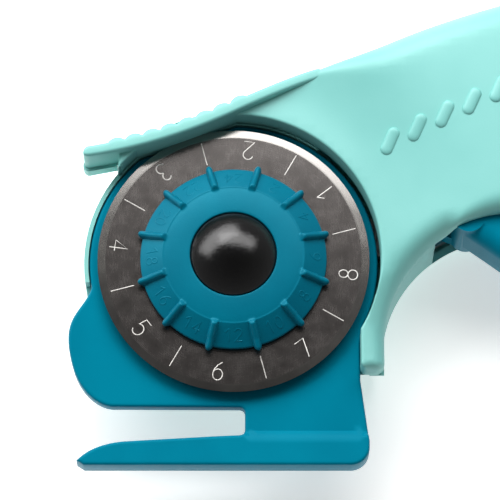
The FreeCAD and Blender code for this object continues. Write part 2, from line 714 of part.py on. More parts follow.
clip = new_body("retaining_clip")
clip_ring = [
    arc(flat(polar(5.2, 295)), flat(polar(5.2, 90)), flat(polar(5.2, 245))),
    line(flat(polar(5.2, 245)), flat(polar(2.55, 245))),
    arc(flat(polar(2.55, 245)), flat(polar(2.55, 90)), flat(polar(2.55, 295))),
    line(flat(polar(2.55, 295)), flat(polar(5.2, 295))),
]
clip_sketch = sketch(clip, "ClipOutline", clip_ring, "15.96")
pad(clip, clip_sketch, "ClipPad", "0.5")

# Release button: a hollow dome with a flange kept under the knob's lip
rise = size("button_rise")
dome_z = knob_top - 0.1
dome_radius = (button_r ** 2 + rise ** 2) / (2 * rise)
inner_r = button_r - 1.0
half_turn = math.asin(button_r / dome_radius) / 2
dome_mid = (dome_radius * math.sin(half_turn), dome_z + rise - dome_radius * (1 - math.cos(half_turn)))
button = new_body("release_button")
button_profile = [
    line((0, dome_z + rise, 0), (0, dome_z + 1.5, 0)),
    line((0, dome_z + 1.5, 0), (inner_r, dome_z - 0.2, 0)),
    line((inner_r, dome_z - 0.2, 0), (inner_r, dome_z - 1.2, 0)),
    line((inner_r, dome_z - 1.2, 0), (7.85, dome_z - 1.2, 0)),
    line((7.85, dome_z - 1.2, 0), (7.85, dome_z - 0.62, 0)),
    line((7.85, dome_z - 0.62, 0), (button_r, dome_z - 0.62, 0)),
    line((button_r, dome_z - 0.62, 0), (button_r, dome_z, 0)),
    arc((button_r, dome_z, 0), flat(dome_mid), (0, dome_z + rise, 0)),
]
button_sketch = sketch(button, "ButtonProfile", button_profile, None, "XZ_Plane")
turned(button, button_sketch, "ButtonTurn")

# Leaf spring in the carriage, with a bump that sits in one notch of the wheel
leaf = new_body("detent_spring")
strip = [
    line((-9.0, -8.4, 0), (9.0, -8.4, 0)),
    line((9.0, -8.4, 0), (9.0, -8.1, 0)),
    line((9.0, -8.1, 0), (1.3, -8.1, 0)),
    arc((1.3, -8.1, 0), (0, -7.15, 0), (-1.3, -8.1, 0)),
    line((-1.3, -8.1, 0), (-9.0, -8.1, 0)),
    line((-9.0, -8.1, 0), (-9.0, -8.4, 0)),
]
strip_sketch = sketch(leaf, "LeafOutline", strip, "7.9")
pad(leaf, strip_sketch, "LeafPad", "1.4")

# ---------------------------------------------------------------------------
# Trigger group
# ---------------------------------------------------------------------------
pin_bore = size("pin_radius") + size("pin_clear")
hub_out = 3.4


def around_pivot(degrees, radius=hub_out):
    return flat(polar(radius, degrees, (pivot.x, pivot.y)))


trigger = new_body("trigger")
grip_top = [(37.0, 8.4), (46.0, 9.3), (56.0, 2.4), (66.0, -1.6), (80.0, -4.6), (96.0, -8.0), (106.5, -10.6)]
grip_low = [(107.0, -18.2), (98.0, -18.6), (84.0, -16.2), (70.0, -12.8), (58.0, -8.5), (50.0, -4.2), (44.0, -0.1),
            (38.3, 4.0)]
grip = [
    curve(*[flat(p) for p in grip_top], first=(1, 0.45, 0), last=(1, -0.3, 0)),
    arc(flat(grip_top[-1]), (110.0, -14.6, 0), flat(grip_low[0])),
    curve(*[flat(p) for p in grip_low], first=(-1, -0.12, 0), last=(-1, 0.7, 0)),
    arc(flat(grip_low[-1]), (36.3, 6.2, 0), flat(grip_top[0])),
]
grip_sketch = sketch(trigger, "GripOutline", grip, "Sizes.trigger_back")
pad(trigger, grip_sketch, "GripPad", "Sizes.trigger_width")


def finger_side(edge):
    """The long lower edges of the grip, where the fingers lie."""
    middle = edge.valueAt((edge.FirstParameter + edge.LastParameter) / 2)
    return edge.Length > 60.0 and middle.y < -10.0


fillet(trigger, "GripRound", "3.0", finger_side)

# Flat web beside the drive arm, with a sleeve on the pivot
web = [
    arc(around_pivot(128), around_pivot(220), around_pivot(-45)),
    line(around_pivot(-45), (33.9, 6.6, 0)),
    line((33.9, 6.6, 0), (38.5, 4.6, 0)),
    line((38.5, 4.6, 0), (48.5, 4.0, 0)),
    line((48.5, 4.0, 0), (48.5, 12.0, 0)),
    curve((48.5, 12.0, 0), (45.6, 15.8, 0), (40.0, 16.3, 0), (33.0, 14.0, 0), around_pivot(128)),
]
web_sketch = sketch(trigger, "WebOutline", web, "Sizes.web_back")
pad(trigger, web_sketch, "WebPad", "Sizes.web_thick")
sleeve = ring_sketch(trigger, "SleeveOutline", [(pivot.x, pivot.y)], 2.8, "Sizes.web_back + Sizes.web_thick")
pad(trigger, sleeve, "SleevePad", "4.0")
seat_points = [(96.0, -10.4), (103.0, -10.4), (103.0, 0.0), (96.0, 0.0)]
pad_seat = sketch(trigger, "StopSeat", polygon([flat(p) for p in seat_points]), "15.0")
pocket(trigger, pad_seat, "StopSeatCut", "6.0")
bore_sketch = ring_sketch(trigger, "PivotBore", [(pivot.x, pivot.y)], pin_bore, "13.0")
pocket(trigger, bore_sketch, "PivotBoreCut", "9.0")
rivet_places = [(35.4, 11.4), (42.0, 13.0)]
rivet_bores = ring_sketch(trigger, "RivetBores", rivet_places, 1.2, "9.0")
pocket(trigger, rivet_bores, "RivetBoreCut", "5.0")

stop_pad = new_body("stop_pad")
stop_shape = [(96.05, -10.4), (102.95, -10.4), (102.95, -7.9), (96.05, -5.4)]
stop_sketch = sketch(stop_pad, "StopOutline", polygon([flat(p) for p in stop_shape]), "9.05")
pad(stop_pad, stop_sketch, "StopPad", "5.9")

# Drive arm: a bent steel bar from the drive pin past the pivot to the rivets
arm = new_body("drive_arm")
arm_line = [drive_point, pivot, Vector(rivet_places[1][0], rivet_places[1][1], 0)]
for count, (start, end) in enumerate(zip(arm_line, arm_line[1:])):
    along = (end - start).normalize()
    side = Vector(-along.y, along.x, 0) * 3.2
    bar = polygon([tuple(p) for p in (start + side, start - side, end - side, end + side)])
    bar_sketch = sketch(arm, "ArmBar%d" % count, bar, "Sizes.arm_back")
    pad(arm, bar_sketch, "ArmBarPad%d" % count, "Sizes.arm_thick")
for count, (place, radius) in enumerate(zip(arm_line, (4.2, hub_out, 3.2))):
    end_sketch = ring_sketch(arm, "ArmEnd%d" % count, [(place.x, place.y)], radius, "Sizes.arm_back")
    pad(arm, end_sketch, "ArmEndPad%d" % count, "Sizes.arm_thick")
along = (pivot - drive_point).normalize()
across = Vector(-along.y, along.x, 0)
slot_r = size("drive_radius") + 0.3
out = drive_point - along * 0.3
into = drive_point + along * 0.8
drive_slot = [
    arc(tuple(out + across * slot_r), tuple(out - along * slot_r), tuple(out - across * slot_r)),
    line(tuple(out - across * slot_r), tuple(into - across * slot_r)),
    arc(tuple(into - across * slot_r), tuple(into + along * slot_r), tuple(into + across * slot_r)),
    line(tuple(into + across * slot_r), tuple(out + across * slot_r)),
]
arm_top = "Sizes.arm_back + Sizes.arm_thick"
drive_slot_sketch = sketch(arm, "DriveSlot", drive_slot, arm_top)
pocket(arm, drive_slot_sketch, "DriveSlotCut", "Sizes.arm_thick")
arm_bore = ring_sketch(arm, "ArmBore", [(pivot.x, pivot.y)], pin_bore, arm_top)
pocket(arm, arm_bore, "ArmBoreCut", "Sizes.arm_thick")
arm_rivet_bores = ring_sketch(arm, "ArmRivetBores", rivet_places, 1.2, arm_top)
pocket(arm, arm_rivet_bores, "ArmRivetCut", "Sizes.arm_thick")

# ---------------------------------------------------------------------------
# Springs, wound round the vertical axis of their own placement
# ---------------------------------------------------------------------------


def coil(label, place, mean_radius, wire_radius, low, pitch, height):
    body = new_body(label)
    wire = sketch(body, label + "Wire", [circle((mean_radius, low, 0), wire_radius)], None, "XZ_Plane")
    helix = body.newObject("PartDesign::AdditiveHelix", label + "Coil")
    helix.Profile = wire
    helix.ReferenceAxis = (wire, ["V_Axis"])
    helix.Mode = "pitch-height-angle"
    helix.Pitch = pitch
    helix.Height = height
    doc.recompute()
    body.Placement = Placement(place, Rotation())
    return body


return_spring = coil("return_spring", pivot, 3.45, 0.35, 9.1, 0.95, 2.85)
for count, (level, length) in enumerate([(9.1, 5.0), (11.95, 7.0)]):
    leg = return_spring.newObject("PartDesign::AdditiveCylinder", "SpringLeg%d" % count)
    leg.Radius = 0.35
    leg.Height = length
    leg.Placement = Placement(Vector(3.45, 0, level), Rotation(Z_AXIS, Vector(0, 1, 0)))
doc.recompute()
button_spring = coil("button_spring", Vector(0, 0, 0), 3.6, 0.22, 16.72, 0.75, 1.5)

# ---------------------------------------------------------------------------
# Pins, washers, rivets and screws
# ---------------------------------------------------------------------------


def cylinder(name, place, radius, low, high):
    """A cylinder between two heights, on an axis through the place."""
    made = doc.addObject("Part::Cylinder", name)
    made.setExpression("Radius", radius)
    made.Height = high - low
    made.Placement = Placement(Vector(place[0], place[1], low), Rotation())
    return made


def cone(name, place, low_radius, high_radius, low, high):
    made = doc.addObject("Part::Cone", name)
    made.Radius1 = low_radius
    made.Radius2 = high_radius
    made.Height = high - low
    made.Placement = Placement(Vector(place[0], place[1], low), Rotation())
    return made


def joined(name, shapes):
    made = doc.addObject("Part::MultiFuse", name)
    made.Shapes = shapes
    doc.recompute()
    return made


def group(label, members):
    """One node made of separate equal solids."""
    made = doc.addObject("Part::Compound", label)
    made.Label = label
    made.Links = members
    doc.recompute()
    return made


pivot_at = (pivot.x, pivot.y)
pivot_pin = cylinder("pivot_pin", pivot_at, "Sizes.pin_radius", 1.05, 16.4)
drive_pin = cylinder("drive_pin", (drive_point.x, drive_point.y), "Sizes.drive_radius", 3.0, 9.5)

washers = []
for count, (outer, low, high) in enumerate([(3.2, 3.02, 3.36), (2.75, 12.63, 12.87)]):
    disc = cylinder("WasherDisc%d" % count, pivot_at, str(outer), low, high)
    hole = cylinder("WasherHole%d" % count, pivot_at, "Sizes.pin_radius + Sizes.pin_clear", low - 1, high + 1)
    ring = doc.addObject("Part::Cut", "Washer%d" % count)
    ring.Base = disc
    ring.Tool = hole
    washers.append(ring)
pivot_washers = group("pivot_washers", washers)

rivets = []
for count, place in enumerate(rivet_places):
    shank = cylinder("RivetShank%d" % count, place, "1.2", 3.0, 9.2)
    low_head = cone("RivetLow%d" % count, place, 1.5, 2.1, 2.75, 3.4)
    high_head = cone("RivetHigh%d" % count, place, 2.1, 1.5, 8.6, 9.25)
    rivets.append(joined("Rivet%d" % count, [shank, low_head, high_head]))
arm_rivets = group("arm_rivets", rivets)

screws = []
for count, place in enumerate(screw_places):
    shank = cylinder("ScrewShank%d" % count, place, "Sizes.screw_radius", 2.0, 16.2)
    head = cylinder("ScrewHead%d" % count, place, "Sizes.screw_head", 0.9, 3.0)
    drive = cylinder("ScrewSocket%d" % count, place, "1.1", 0.5, 1.9)
    whole = joined("ScrewWhole%d" % count, [shank, head])
    screw = doc.addObject("Part::Cut", "Screw%d" % count)
    screw.Base = whole
    screw.Tool = drive
    screws.append(screw)
shell_screws = group("shell_screws", screws)

small = []
for count, place in enumerate(plate_screws_at):
    shank = cylinder("PlateShank%d" % count, place, "Sizes.screw_radius", 4.6, 11.6)
    head = cone("PlateHead%d" % count, place, 1.4, 2.7, 11.45, 12.75)
    drive = cylinder("PlateSocket%d" % count, place, "0.9", 12.0, 13.5)
    whole = joined("PlateWhole%d" % count, [shank, head])
    screw = doc.addObject("Part::Cut", "PlateScrew%d" % count)
    screw.Base = whole
    screw.Tool = drive
    small.append(screw)
plate_screws = group("plate_screws", small)
doc.recompute()

# ---------------------------------------------------------------------------
# Checks and files
# ---------------------------------------------------------------------------
nodes = [
    back, front, plate, blade, carriage, post, hub, wheel, washer, knob, clip, button, leaf, trigger, stop_pad,
    arm, return_spring, button_spring, pivot_pin, drive_pin, pivot_washers, arm_rivets, shell_screws,
    plate_screws,
]
for item in doc.Objects:
    if any(word in item.State for word in ("Invalid", "Error")):
        raise RuntimeError(item.Name + ": " + ", ".join(item.State))
for node in nodes:
    if node.Shape.isNull() or not node.Shape.isValid():
        raise RuntimeError(node.Label + " has a bad shape")
    box = node.Shape.optimalBoundingBox(False)
    print("%-18s %2d solids %9.1f mm3  x %7.2f %7.2f  y %7.2f %7.2f  z %6.2f %6.2f" % (
        node.Label, len(node.Shape.Solids), node.Shape.Volume,
        box.XMin, box.XMax, box.YMin, box.YMax, box.ZMin, box.ZMax,
    ))
    node.Shape.exportStep("parts/%s.step" % node.Label)
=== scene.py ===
import math

import bmesh
import bpy
import numpy as np
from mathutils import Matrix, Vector
from mathutils.geometry import delaunay_2d_cdt


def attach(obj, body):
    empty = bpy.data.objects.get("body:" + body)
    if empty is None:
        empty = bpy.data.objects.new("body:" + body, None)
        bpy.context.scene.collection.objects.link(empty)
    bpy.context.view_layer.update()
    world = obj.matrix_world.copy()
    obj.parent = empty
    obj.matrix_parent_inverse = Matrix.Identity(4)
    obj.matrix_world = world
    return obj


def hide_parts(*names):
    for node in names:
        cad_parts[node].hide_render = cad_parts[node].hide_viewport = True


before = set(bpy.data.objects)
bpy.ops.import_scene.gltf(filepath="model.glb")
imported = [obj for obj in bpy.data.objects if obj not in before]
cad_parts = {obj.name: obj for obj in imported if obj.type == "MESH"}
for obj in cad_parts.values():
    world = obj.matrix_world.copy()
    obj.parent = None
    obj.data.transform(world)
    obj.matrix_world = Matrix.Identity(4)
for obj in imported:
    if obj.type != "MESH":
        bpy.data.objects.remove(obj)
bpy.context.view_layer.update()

mm = 0.001
print("frame loaded:", len(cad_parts), "nodes")


# ---- small tools for meshes

def gridFaces(rows, cols, wrapCols=True):  # quads of a rows x cols grid, joined round at the last column
    r, c = np.meshgrid(np.arange(rows - 1), np.arange(cols if wrapCols else cols - 1), indexing="ij")
    n = (c + 1) % cols
    return np.stack([r * cols + c, r * cols + n, (r + 1) * cols + n, (r + 1) * cols + c], -1).reshape(-1, 4)


def putPiece(name, points, faces, body, paint, slot=None, creaseDeg=38.0):
    mesh = bpy.data.meshes.new(name)  # points in mm, faces as lists of numbers
    mesh.from_pydata((np.asarray(points, float) * mm).tolist(), [], [list(map(int, f)) for f in faces])
    mesh.validate()
    mesh.update()
    piece = bpy.data.objects.new(name, mesh)
    bpy.context.scene.collection.objects.link(piece)
    mesh.materials.append(paint)
    mesh.polygons.foreach_set("use_smooth", np.ones(len(mesh.polygons), bool))
    mesh.set_sharp_from_angle(angle=math.radians(creaseDeg))
    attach(piece, body)
    return piece


def turnedSurface(profile, around, radiusOf=None, heightOf=None):
    # each profile point (r, z) goes round the Z axis as (r cos a, r sin a, z);
    # radiusOf and heightOf may change r and z with the angle and the profile's own step
    profile = np.asarray(profile, float)
    angle = np.linspace(0, 2 * math.pi, around, endpoint=False)[None, :]
    r = np.repeat(profile[:, :1], around, 1)
    z = np.repeat(profile[:, 1:2], around, 1)
    step = np.linspace(0, 1, len(profile))[:, None]
    if radiusOf is not None:
        r, z = radiusOf(r, z, angle, step), (heightOf or (lambda r, z, a, s: z))(r, z, angle, step)
    points = np.stack([r * np.cos(angle), r * np.sin(angle), z], -1).reshape(-1, 3)
    return points, gridFaces(len(profile), around)


def merged(piece):  # welds the rings that meet at the axis and drops what has no area
    bm = bmesh.new()
    bm.from_mesh(piece.data)
    bmesh.ops.remove_doubles(bm, verts=bm.verts, dist=2e-6)
    bmesh.ops.dissolve_degenerate(bm, edges=bm.edges, dist=1e-6)
    bm.to_mesh(piece.data)
    bm.free()
    piece.data.update()
    return piece


def roundedCorners(points, radius, steps=4):  # an open line, each inner corner cut by a small quadratic bend
    p = np.asarray(points, float)
    out = [p[:1]]
    t = np.linspace(0, 1, steps + 1)[:, None]
    for before, corner, after in zip(p, p[1:], p[2:]):
        a = corner + (before - corner) * min(0.45, radius / max(np.linalg.norm(before - corner), 1e-6))
        b = corner + (after - corner) * min(0.45, radius / max(np.linalg.norm(after - corner), 1e-6))
        out.append((1 - t) ** 2 * a + 2 * t * (1 - t) * corner + t ** 2 * b)
    return np.vstack(out + [p[-1:]])


def carriedBead(path, normal, halfWidth, halfHeight, around=8):
    # an oval ring is carried along the path: point + side * cos * halfWidth + normal * sin * halfHeight,
    # and both ends are closed by their own ring
    path, normal = np.asarray(path, float), np.broadcast_to(np.asarray(normal, float), np.shape(path))
    along = np.gradient(path, axis=0)
    along /= np.linalg.norm(along, axis=1, keepdims=True)
    side = np.cross(along, normal)
    side /= np.linalg.norm(side, axis=1, keepdims=True)
    a = np.linspace(0, 2 * math.pi, around, endpoint=False)[None, :, None]
    rings = path[:, None] + side[:, None] * np.cos(a) * halfWidth + normal[:, None] * np.sin(a) * halfHeight
    faces = gridFaces(len(path), around).tolist()
    last = (len(path) - 1) * around
    faces += [list(range(around))[::-1], list(range(last, last + around))]
    return rings.reshape(-1, 3), [f[::-1] for f in faces]


def together(parts):  # several (points, faces) as one
    points, faces, base = [], [], 0
    for p, f in parts:
        points.append(np.asarray(p, float))
        faces += [[i + base for i in face] for face in f]
        base += len(p)
    return np.vstack(points), faces


def mouldedCopy(node, name, body, paint, creaseDeg=32.0):  # the CAD part's own surface, shaded smooth
    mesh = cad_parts[node].data.copy()
    mesh.name = name
    bm = bmesh.new()
    bm.from_mesh(mesh)
    bmesh.ops.remove_doubles(bm, verts=bm.verts, dist=1.5e-6)
    bmesh.ops.dissolve_limit(bm, angle_limit=math.radians(0.3), verts=bm.verts, edges=bm.edges)
    bm.to_mesh(mesh)
    bm.free()
    piece = bpy.data.objects.new(name, mesh)
    bpy.context.scene.collection.objects.link(piece)
    mesh.materials.clear()
    mesh.materials.append(paint)
    mesh.polygons.foreach_set("use_smooth", np.ones(len(mesh.polygons), bool))
    mesh.set_sharp_from_angle(angle=math.radians(creaseDeg))
    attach(piece, body)
    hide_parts(node)
    return piece


# ---- outlines and the surfaces that lie over them

def drawnCurve(points, first, last, gapMm=0.3):
    # cubic curve through the points, smooth to the second derivative, leaving and arriving in the given
    # directions: its slopes at the points solve one band of linear equations over the chord lengths
    p = np.asarray(points, float)
    h = np.linalg.norm(np.diff(p, axis=0), axis=1)
    n = len(p)
    band, rhs = np.eye(n), np.zeros((n, 2))
    rhs[0] = np.array(first[:2]) / np.linalg.norm(first[:2])
    rhs[-1] = np.array(last[:2]) / np.linalg.norm(last[:2])
    for i in range(1, n - 1):
        band[i, i - 1:i + 2] = [h[i], 2 * (h[i - 1] + h[i]), h[i - 1]]
        rhs[i] = 3 * (h[i - 1] * (p[i + 1] - p[i]) / h[i] + h[i] * (p[i] - p[i - 1]) / h[i - 1])
    m = np.linalg.solve(band, rhs)
    spans = []
    for i in range(n - 1):
        t = np.linspace(0, 1, max(int(h[i] / gapMm), 2), endpoint=False)[:, None]
        spans.append((2 * t ** 3 - 3 * t ** 2 + 1) * p[i] + (t ** 3 - 2 * t ** 2 + t) * h[i] * m[i]
                     + (3 * t ** 2 - 2 * t ** 3) * p[i + 1] + (t ** 3 - t ** 2) * h[i] * m[i + 1])
    return np.vstack(spans)


def drawnArc(cx, cy, radius, fromDeg, toDeg, gapMm=0.3):
    count = max(int(abs(math.radians(toDeg - fromDeg)) * radius / gapMm), 4)
    a = np.radians(np.linspace(fromDeg, toDeg, count))[:-1]
    return np.stack([cx + radius * np.cos(a), cy + radius * np.sin(a)], -1)


def drawnLine(a, b, gapMm=0.3):
    t = np.linspace(0, 1, max(int(math.dist(a, b) / gapMm), 2), endpoint=False)[:, None]
    return np.array(a) * (1 - t) + np.array(b) * t


def inwardOf(loop):  # unit normals to the left of a counter-clockwise loop
    along = np.roll(loop, -1, 0) - np.roll(loop, 1, 0)
    along /= np.linalg.norm(along, axis=1, keepdims=True)
    return np.stack([-along[:, 1], along[:, 0]], -1)


def counterClockwise(loop):
    x, y = loop[:, 0], loop[:, 1]
    return loop if (x * np.roll(y, -1) - y * np.roll(x, -1)).sum() > 0 else loop[::-1]


def insideLoop(points, loop):  # even number of crossings to the right is outside
    a, b = loop, np.roll(loop, -1, 0)
    out = []
    for part in np.array_split(points, max(len(points) // 2000, 1)):
        x, y = part[:, :1], part[:, 1:2]
        spans = (a[:, 1] > y) != (b[:, 1] > y)
        rise = np.where(b[:, 1] == a[:, 1], 1e-9, b[:, 1] - a[:, 1])
        cross = a[:, 0] + (y - a[:, 1]) * (b[:, 0] - a[:, 0]) / rise
        out.append((spans & (x < cross)).sum(1) % 2 == 1)
    return np.concatenate(out)


def edgeDrop(points, edge, radii):
    # how far the face falls at each point: radius - sqrt(radius^2 - (radius - distance)^2) of the
    # nearest edges, the largest of them; also the plain distance to the edge
    drop, near = [], []
    for part in np.array_split(points, max(len(points) // 2000, 1)):
        d = np.linalg.norm(part[:, None] - edge[None], axis=2)
        lack = np.clip(radii[None] - d, 0, None)
        drop.append((radii[None] - np.sqrt(np.clip(radii[None] ** 2 - lack ** 2, 0, None))).max(1))
        near.append(d.min(1))
    return np.concatenate(drop), np.concatenate(near)


def faceOver(loop, radii, holes=(), gridMm=1.5, deepest=4.2):
    # points and triangles that fill a loop: rings of points a growing distance inside it, then an even grid,
    # joined by a constrained triangulation; returns them with the fall of the rounded edge at each point
    loops = [loop] + [counterClockwise(h)[::-1] for h in holes]
    edge = np.vstack(loops)
    edgeRadii = np.concatenate([radii] + [np.full(len(h), 0.12) for h in holes])
    normals = np.vstack([inwardOf(l) for l in loops])
    depths = [0.04, 0.12, 0.25, 0.42, 0.65, 0.95, 1.35, 1.85, 2.45, 3.2, deepest]
    extra = []
    for depth in depths:
        ring = edge + normals * depth
        wanted = edgeRadii * 1.25 + 0.1 > depth
        ring = ring[wanted]
        if not len(ring):
            continue
        keep = edgeDrop(ring, edge, edgeRadii)[1] > depth * 0.93
        ring = ring[keep & insideLoop(ring, loop)]
        extra.append(ring[::1 + int(depth > 1.2)])
    low, high = loop.min(0), loop.max(0)
    gx, gy = np.meshgrid(np.arange(low[0], high[0], gridMm), np.arange(low[1], high[1], gridMm))
    grid = np.stack([gx.ravel(), gy.ravel()], -1)
    grid = grid[insideLoop(grid, loop)]
    away = np.min([np.linalg.norm(grid[:, None] - e[None], axis=2).min(1) for e in np.array_split(edge, 8)], 0)
    fallen = edgeDrop(grid, edge, edgeRadii)[0]
    extra.append(grid[(away > 0.5) & ((fallen <= 0) | (away > deepest))])
    for hole in holes:
        extra = [e[~insideLoop(e, hole)] for e in extra]
    points = np.vstack([edge] + extra)
    sides, start = [], 0
    for l in loops:
        i = np.arange(len(l))
        sides.append(np.stack([i, np.roll(i, -1)], -1) + start)
        start += len(l)
    made = delaunay_2d_cdt([Vector(p) for p in points.tolist()], np.vstack(sides).tolist(), [], 1, 1e-6)
    flat = np.array([v[:] for v in made[0]])
    faces = np.array([f for f in made[2] if len(f) == 3])
    centres = flat[faces].mean(1)
    keep = insideLoop(centres, loop)
    for hole in holes:
        keep &= ~insideLoop(centres, hole)
    faces = faces[keep]
    a, b, c = flat[faces[:, 0]], flat[faces[:, 1]], flat[faces[:, 2]]
    turn = (b[:, 0] - a[:, 0]) * (c[:, 1] - a[:, 1]) - (b[:, 1] - a[:, 1]) * (c[:, 0] - a[:, 0])
    faces[turn < 0] = faces[turn < 0][:, ::-1]
    drop = edgeDrop(flat, edge, edgeRadii)[0]
    return flat, faces, drop, loops, edgeRadii


def wallBetween(loop, heights, keepBand=None):  # bands of quads down a loop, between rows of heights
    count, points, faces = len(loop), [], []
    for row in heights:
        points.append(np.column_stack([loop, np.broadcast_to(row, count)]))
    for band in range(len(heights) - 1):
        i = np.arange(count)
        n = np.roll(i, -1)
        upper, lower = band * count, (band + 1) * count
        quads = np.stack([i + upper, i + lower, n + lower, n + upper], -1)
        faces += quads[keepBand[band]].tolist() if keepBand is not None else quads.tolist()
    return np.vstack(points), faces


# ---- small tools for materials

def linearColour(hexText):  # sRGB hex to linear light
    c = np.array([int(hexText[i:i + 2], 16) / 255 for i in (1, 3, 5)])
    c = np.where(c <= 0.04045, c / 12.92, ((c + 0.055) / 1.055) ** 2.4)
    return (*c.tolist(), 1.0)


def addNode(tree, kind, inputs=None, **settings):  # a node, its settings, and values or links for its inputs
    node = tree.nodes.new(kind)
    for key, value in settings.items():
        setattr(node, key, value)
    for key, value in (inputs or {}).items():
        if isinstance(value, bpy.types.NodeSocket):
            tree.links.new(value, node.inputs[key])
        else:
            node.inputs[key].default_value = value
    return node


def newMaterial(name):
    paint = bpy.data.materials.new(name)
    paint.use_nodes = True
    tree = paint.node_tree
    tree.nodes.clear()
    surface = addNode(tree, "ShaderNodeBsdfPrincipled")
    addNode(tree, "ShaderNodeOutputMaterial", {"Surface": surface.outputs[0]})
    where = addNode(tree, "ShaderNodeTexCoord").outputs["Object"]
    return paint, tree, surface, where


def perMetre(sizeMm):  # texture scale for a feature of that size
    return 1.0 / (sizeMm * mm)


def mouldedPlastic(name, look):
    # injection-moulded ABS: a fine spark-eroded skin that breaks the gloss, and a faint cloudiness
    # of the pigment over a centimetre or two
    paint, tree, surface, where = newMaterial(name)
    cloud = addNode(tree, "ShaderNodeTexNoise", {"Vector": where, "Scale": perMetre(look["cloudMm"]),
                                                 "Detail": 3.0})
    tone = addNode(tree, "ShaderNodeValToRGB", {"Fac": cloud.outputs["Fac"]})
    tone.color_ramp.elements[0].position = 0.3
    tone.color_ramp.elements[0].color = linearColour(look["deep"])
    tone.color_ramp.elements[1].position = 0.7
    tone.color_ramp.elements[1].color = linearColour(look["light"])
    grain = addNode(tree, "ShaderNodeTexNoise", {"Vector": where, "Scale": perMetre(look["grainMm"]), "Detail": 4.0,
                                                 "Roughness": 0.6})
    gloss = addNode(tree, "ShaderNodeMapRange", {"Value": grain.outputs["Fac"], "To Min": look["rough"][0],
                                                 "To Max": look["rough"][1]})
    skin = addNode(tree, "ShaderNodeBump", {"Height": grain.outputs["Fac"], "Strength": look["skin"],
                                            "Distance": look["skinMm"] * mm})
    tree.links.new(tone.outputs["Color"], surface.inputs["Base Color"])
    tree.links.new(gloss.outputs["Result"], surface.inputs["Roughness"])
    tree.links.new(skin.outputs["Normal"], surface.inputs["Normal"])
    surface.inputs["IOR"].default_value = look["ior"]
    surface.inputs["Specular IOR Level"].default_value = look.get("sheen", 0.5)
    surface.inputs["Specular Tint"].default_value = linearColour(look.get("sheenHex", "#ffffff"))
    return paint


def polishedSteel(name, look):
    # hardened steel ground on a flat stone and then lapped while it turns: rings a few hundredths of a
    # millimetre apart, a few crossing scratches, and dull patches of oil film
    paint, tree, surface, where = newMaterial(name)
    flat = addNode(tree, "ShaderNodeVectorMath", {0: where, 1: (1.0, 1.0, 0.0)}, operation="MULTIPLY")
    radius = addNode(tree, "ShaderNodeVectorMath", {0: flat.outputs["Vector"]}, operation="LENGTH")
    ringPlace = addNode(tree, "ShaderNodeCombineXYZ", {"X": radius.outputs["Value"]})
    rings = addNode(tree, "ShaderNodeTexNoise", {"Vector": ringPlace.outputs[0], "Scale": perMetre(look["ringMm"]),
                                                 "Detail": 5.0, "Roughness": 0.7})
    stretched = addNode(tree, "ShaderNodeMapping", {"Vector": where, "Rotation": (0.0, 0.0, 0.6),
                                                    "Scale": (1.0, 0.05, 1.0)})
    marks = addNode(tree, "ShaderNodeTexNoise", {"Vector": stretched.outputs[0], "Scale": perMetre(look["markMm"]),
                                                 "Detail": 6.0, "Roughness": 0.75})
    film = addNode(tree, "ShaderNodeTexNoise", {"Vector": where, "Scale": perMetre(look["filmMm"]), "Detail": 4.0})
    both = addNode(tree, "ShaderNodeMath", {0: rings.outputs["Fac"], 1: marks.outputs["Fac"]}, operation="ADD")
    mixed = addNode(tree, "ShaderNodeMath", {0: both.outputs[0], 1: film.outputs["Fac"], 2: both.outputs[0]},
                    operation="MULTIPLY_ADD")
    tone = addNode(tree, "ShaderNodeValToRGB", {"Fac": film.outputs["Fac"]})
    tone.color_ramp.elements[0].position = 0.32
    tone.color_ramp.elements[0].color = linearColour(look["deep"])
    tone.color_ramp.elements[1].position = 0.68
    tone.color_ramp.elements[1].color = linearColour(look["light"])
    gloss = addNode(tree, "ShaderNodeMapRange", {"Value": mixed.outputs[0], "From Min": 1.0, "From Max": 2.0,
                                                 "To Min": look["rough"][0], "To Max": look["rough"][1]})
    scratch = addNode(tree, "ShaderNodeBump", {"Height": both.outputs[0], "Strength": look["scratch"],
                                               "Distance": look["scratchMm"] * mm})
    tree.links.new(tone.outputs["Color"], surface.inputs["Base Color"])
    tree.links.new(gloss.outputs["Result"], surface.inputs["Roughness"])
    tree.links.new(scratch.outputs["Normal"], surface.inputs["Normal"])
    surface.inputs["Metallic"].default_value = 1.0
    return paint


def plainMetal(name, look):
    # small steel and brass parts: turned, drawn or plated, with a fine satin and slight mottling
    paint, tree, surface, where = newMaterial(name)
    mottle = addNode(tree, "ShaderNodeTexNoise", {"Vector": where, "Scale": perMetre(look["mottleMm"]),
                                                  "Detail": 4.0})
    tone = addNode(tree, "ShaderNodeValToRGB", {"Fac": mottle.outputs["Fac"]})
    tone.color_ramp.elements[0].position = 0.35
    tone.color_ramp.elements[0].color = linearColour(look["deep"])
    tone.color_ramp.elements[1].position = 0.65
    tone.color_ramp.elements[1].color = linearColour(look["light"])
    gloss = addNode(tree, "ShaderNodeMapRange", {"Value": mottle.outputs["Fac"], "To Min": look["rough"][0],
                                                 "To Max": look["rough"][1]})
    tree.links.new(tone.outputs["Color"], surface.inputs["Base Color"])
    tree.links.new(gloss.outputs["Result"], surface.inputs["Roughness"])
    surface.inputs["Metallic"].default_value = 1.0
    return paint


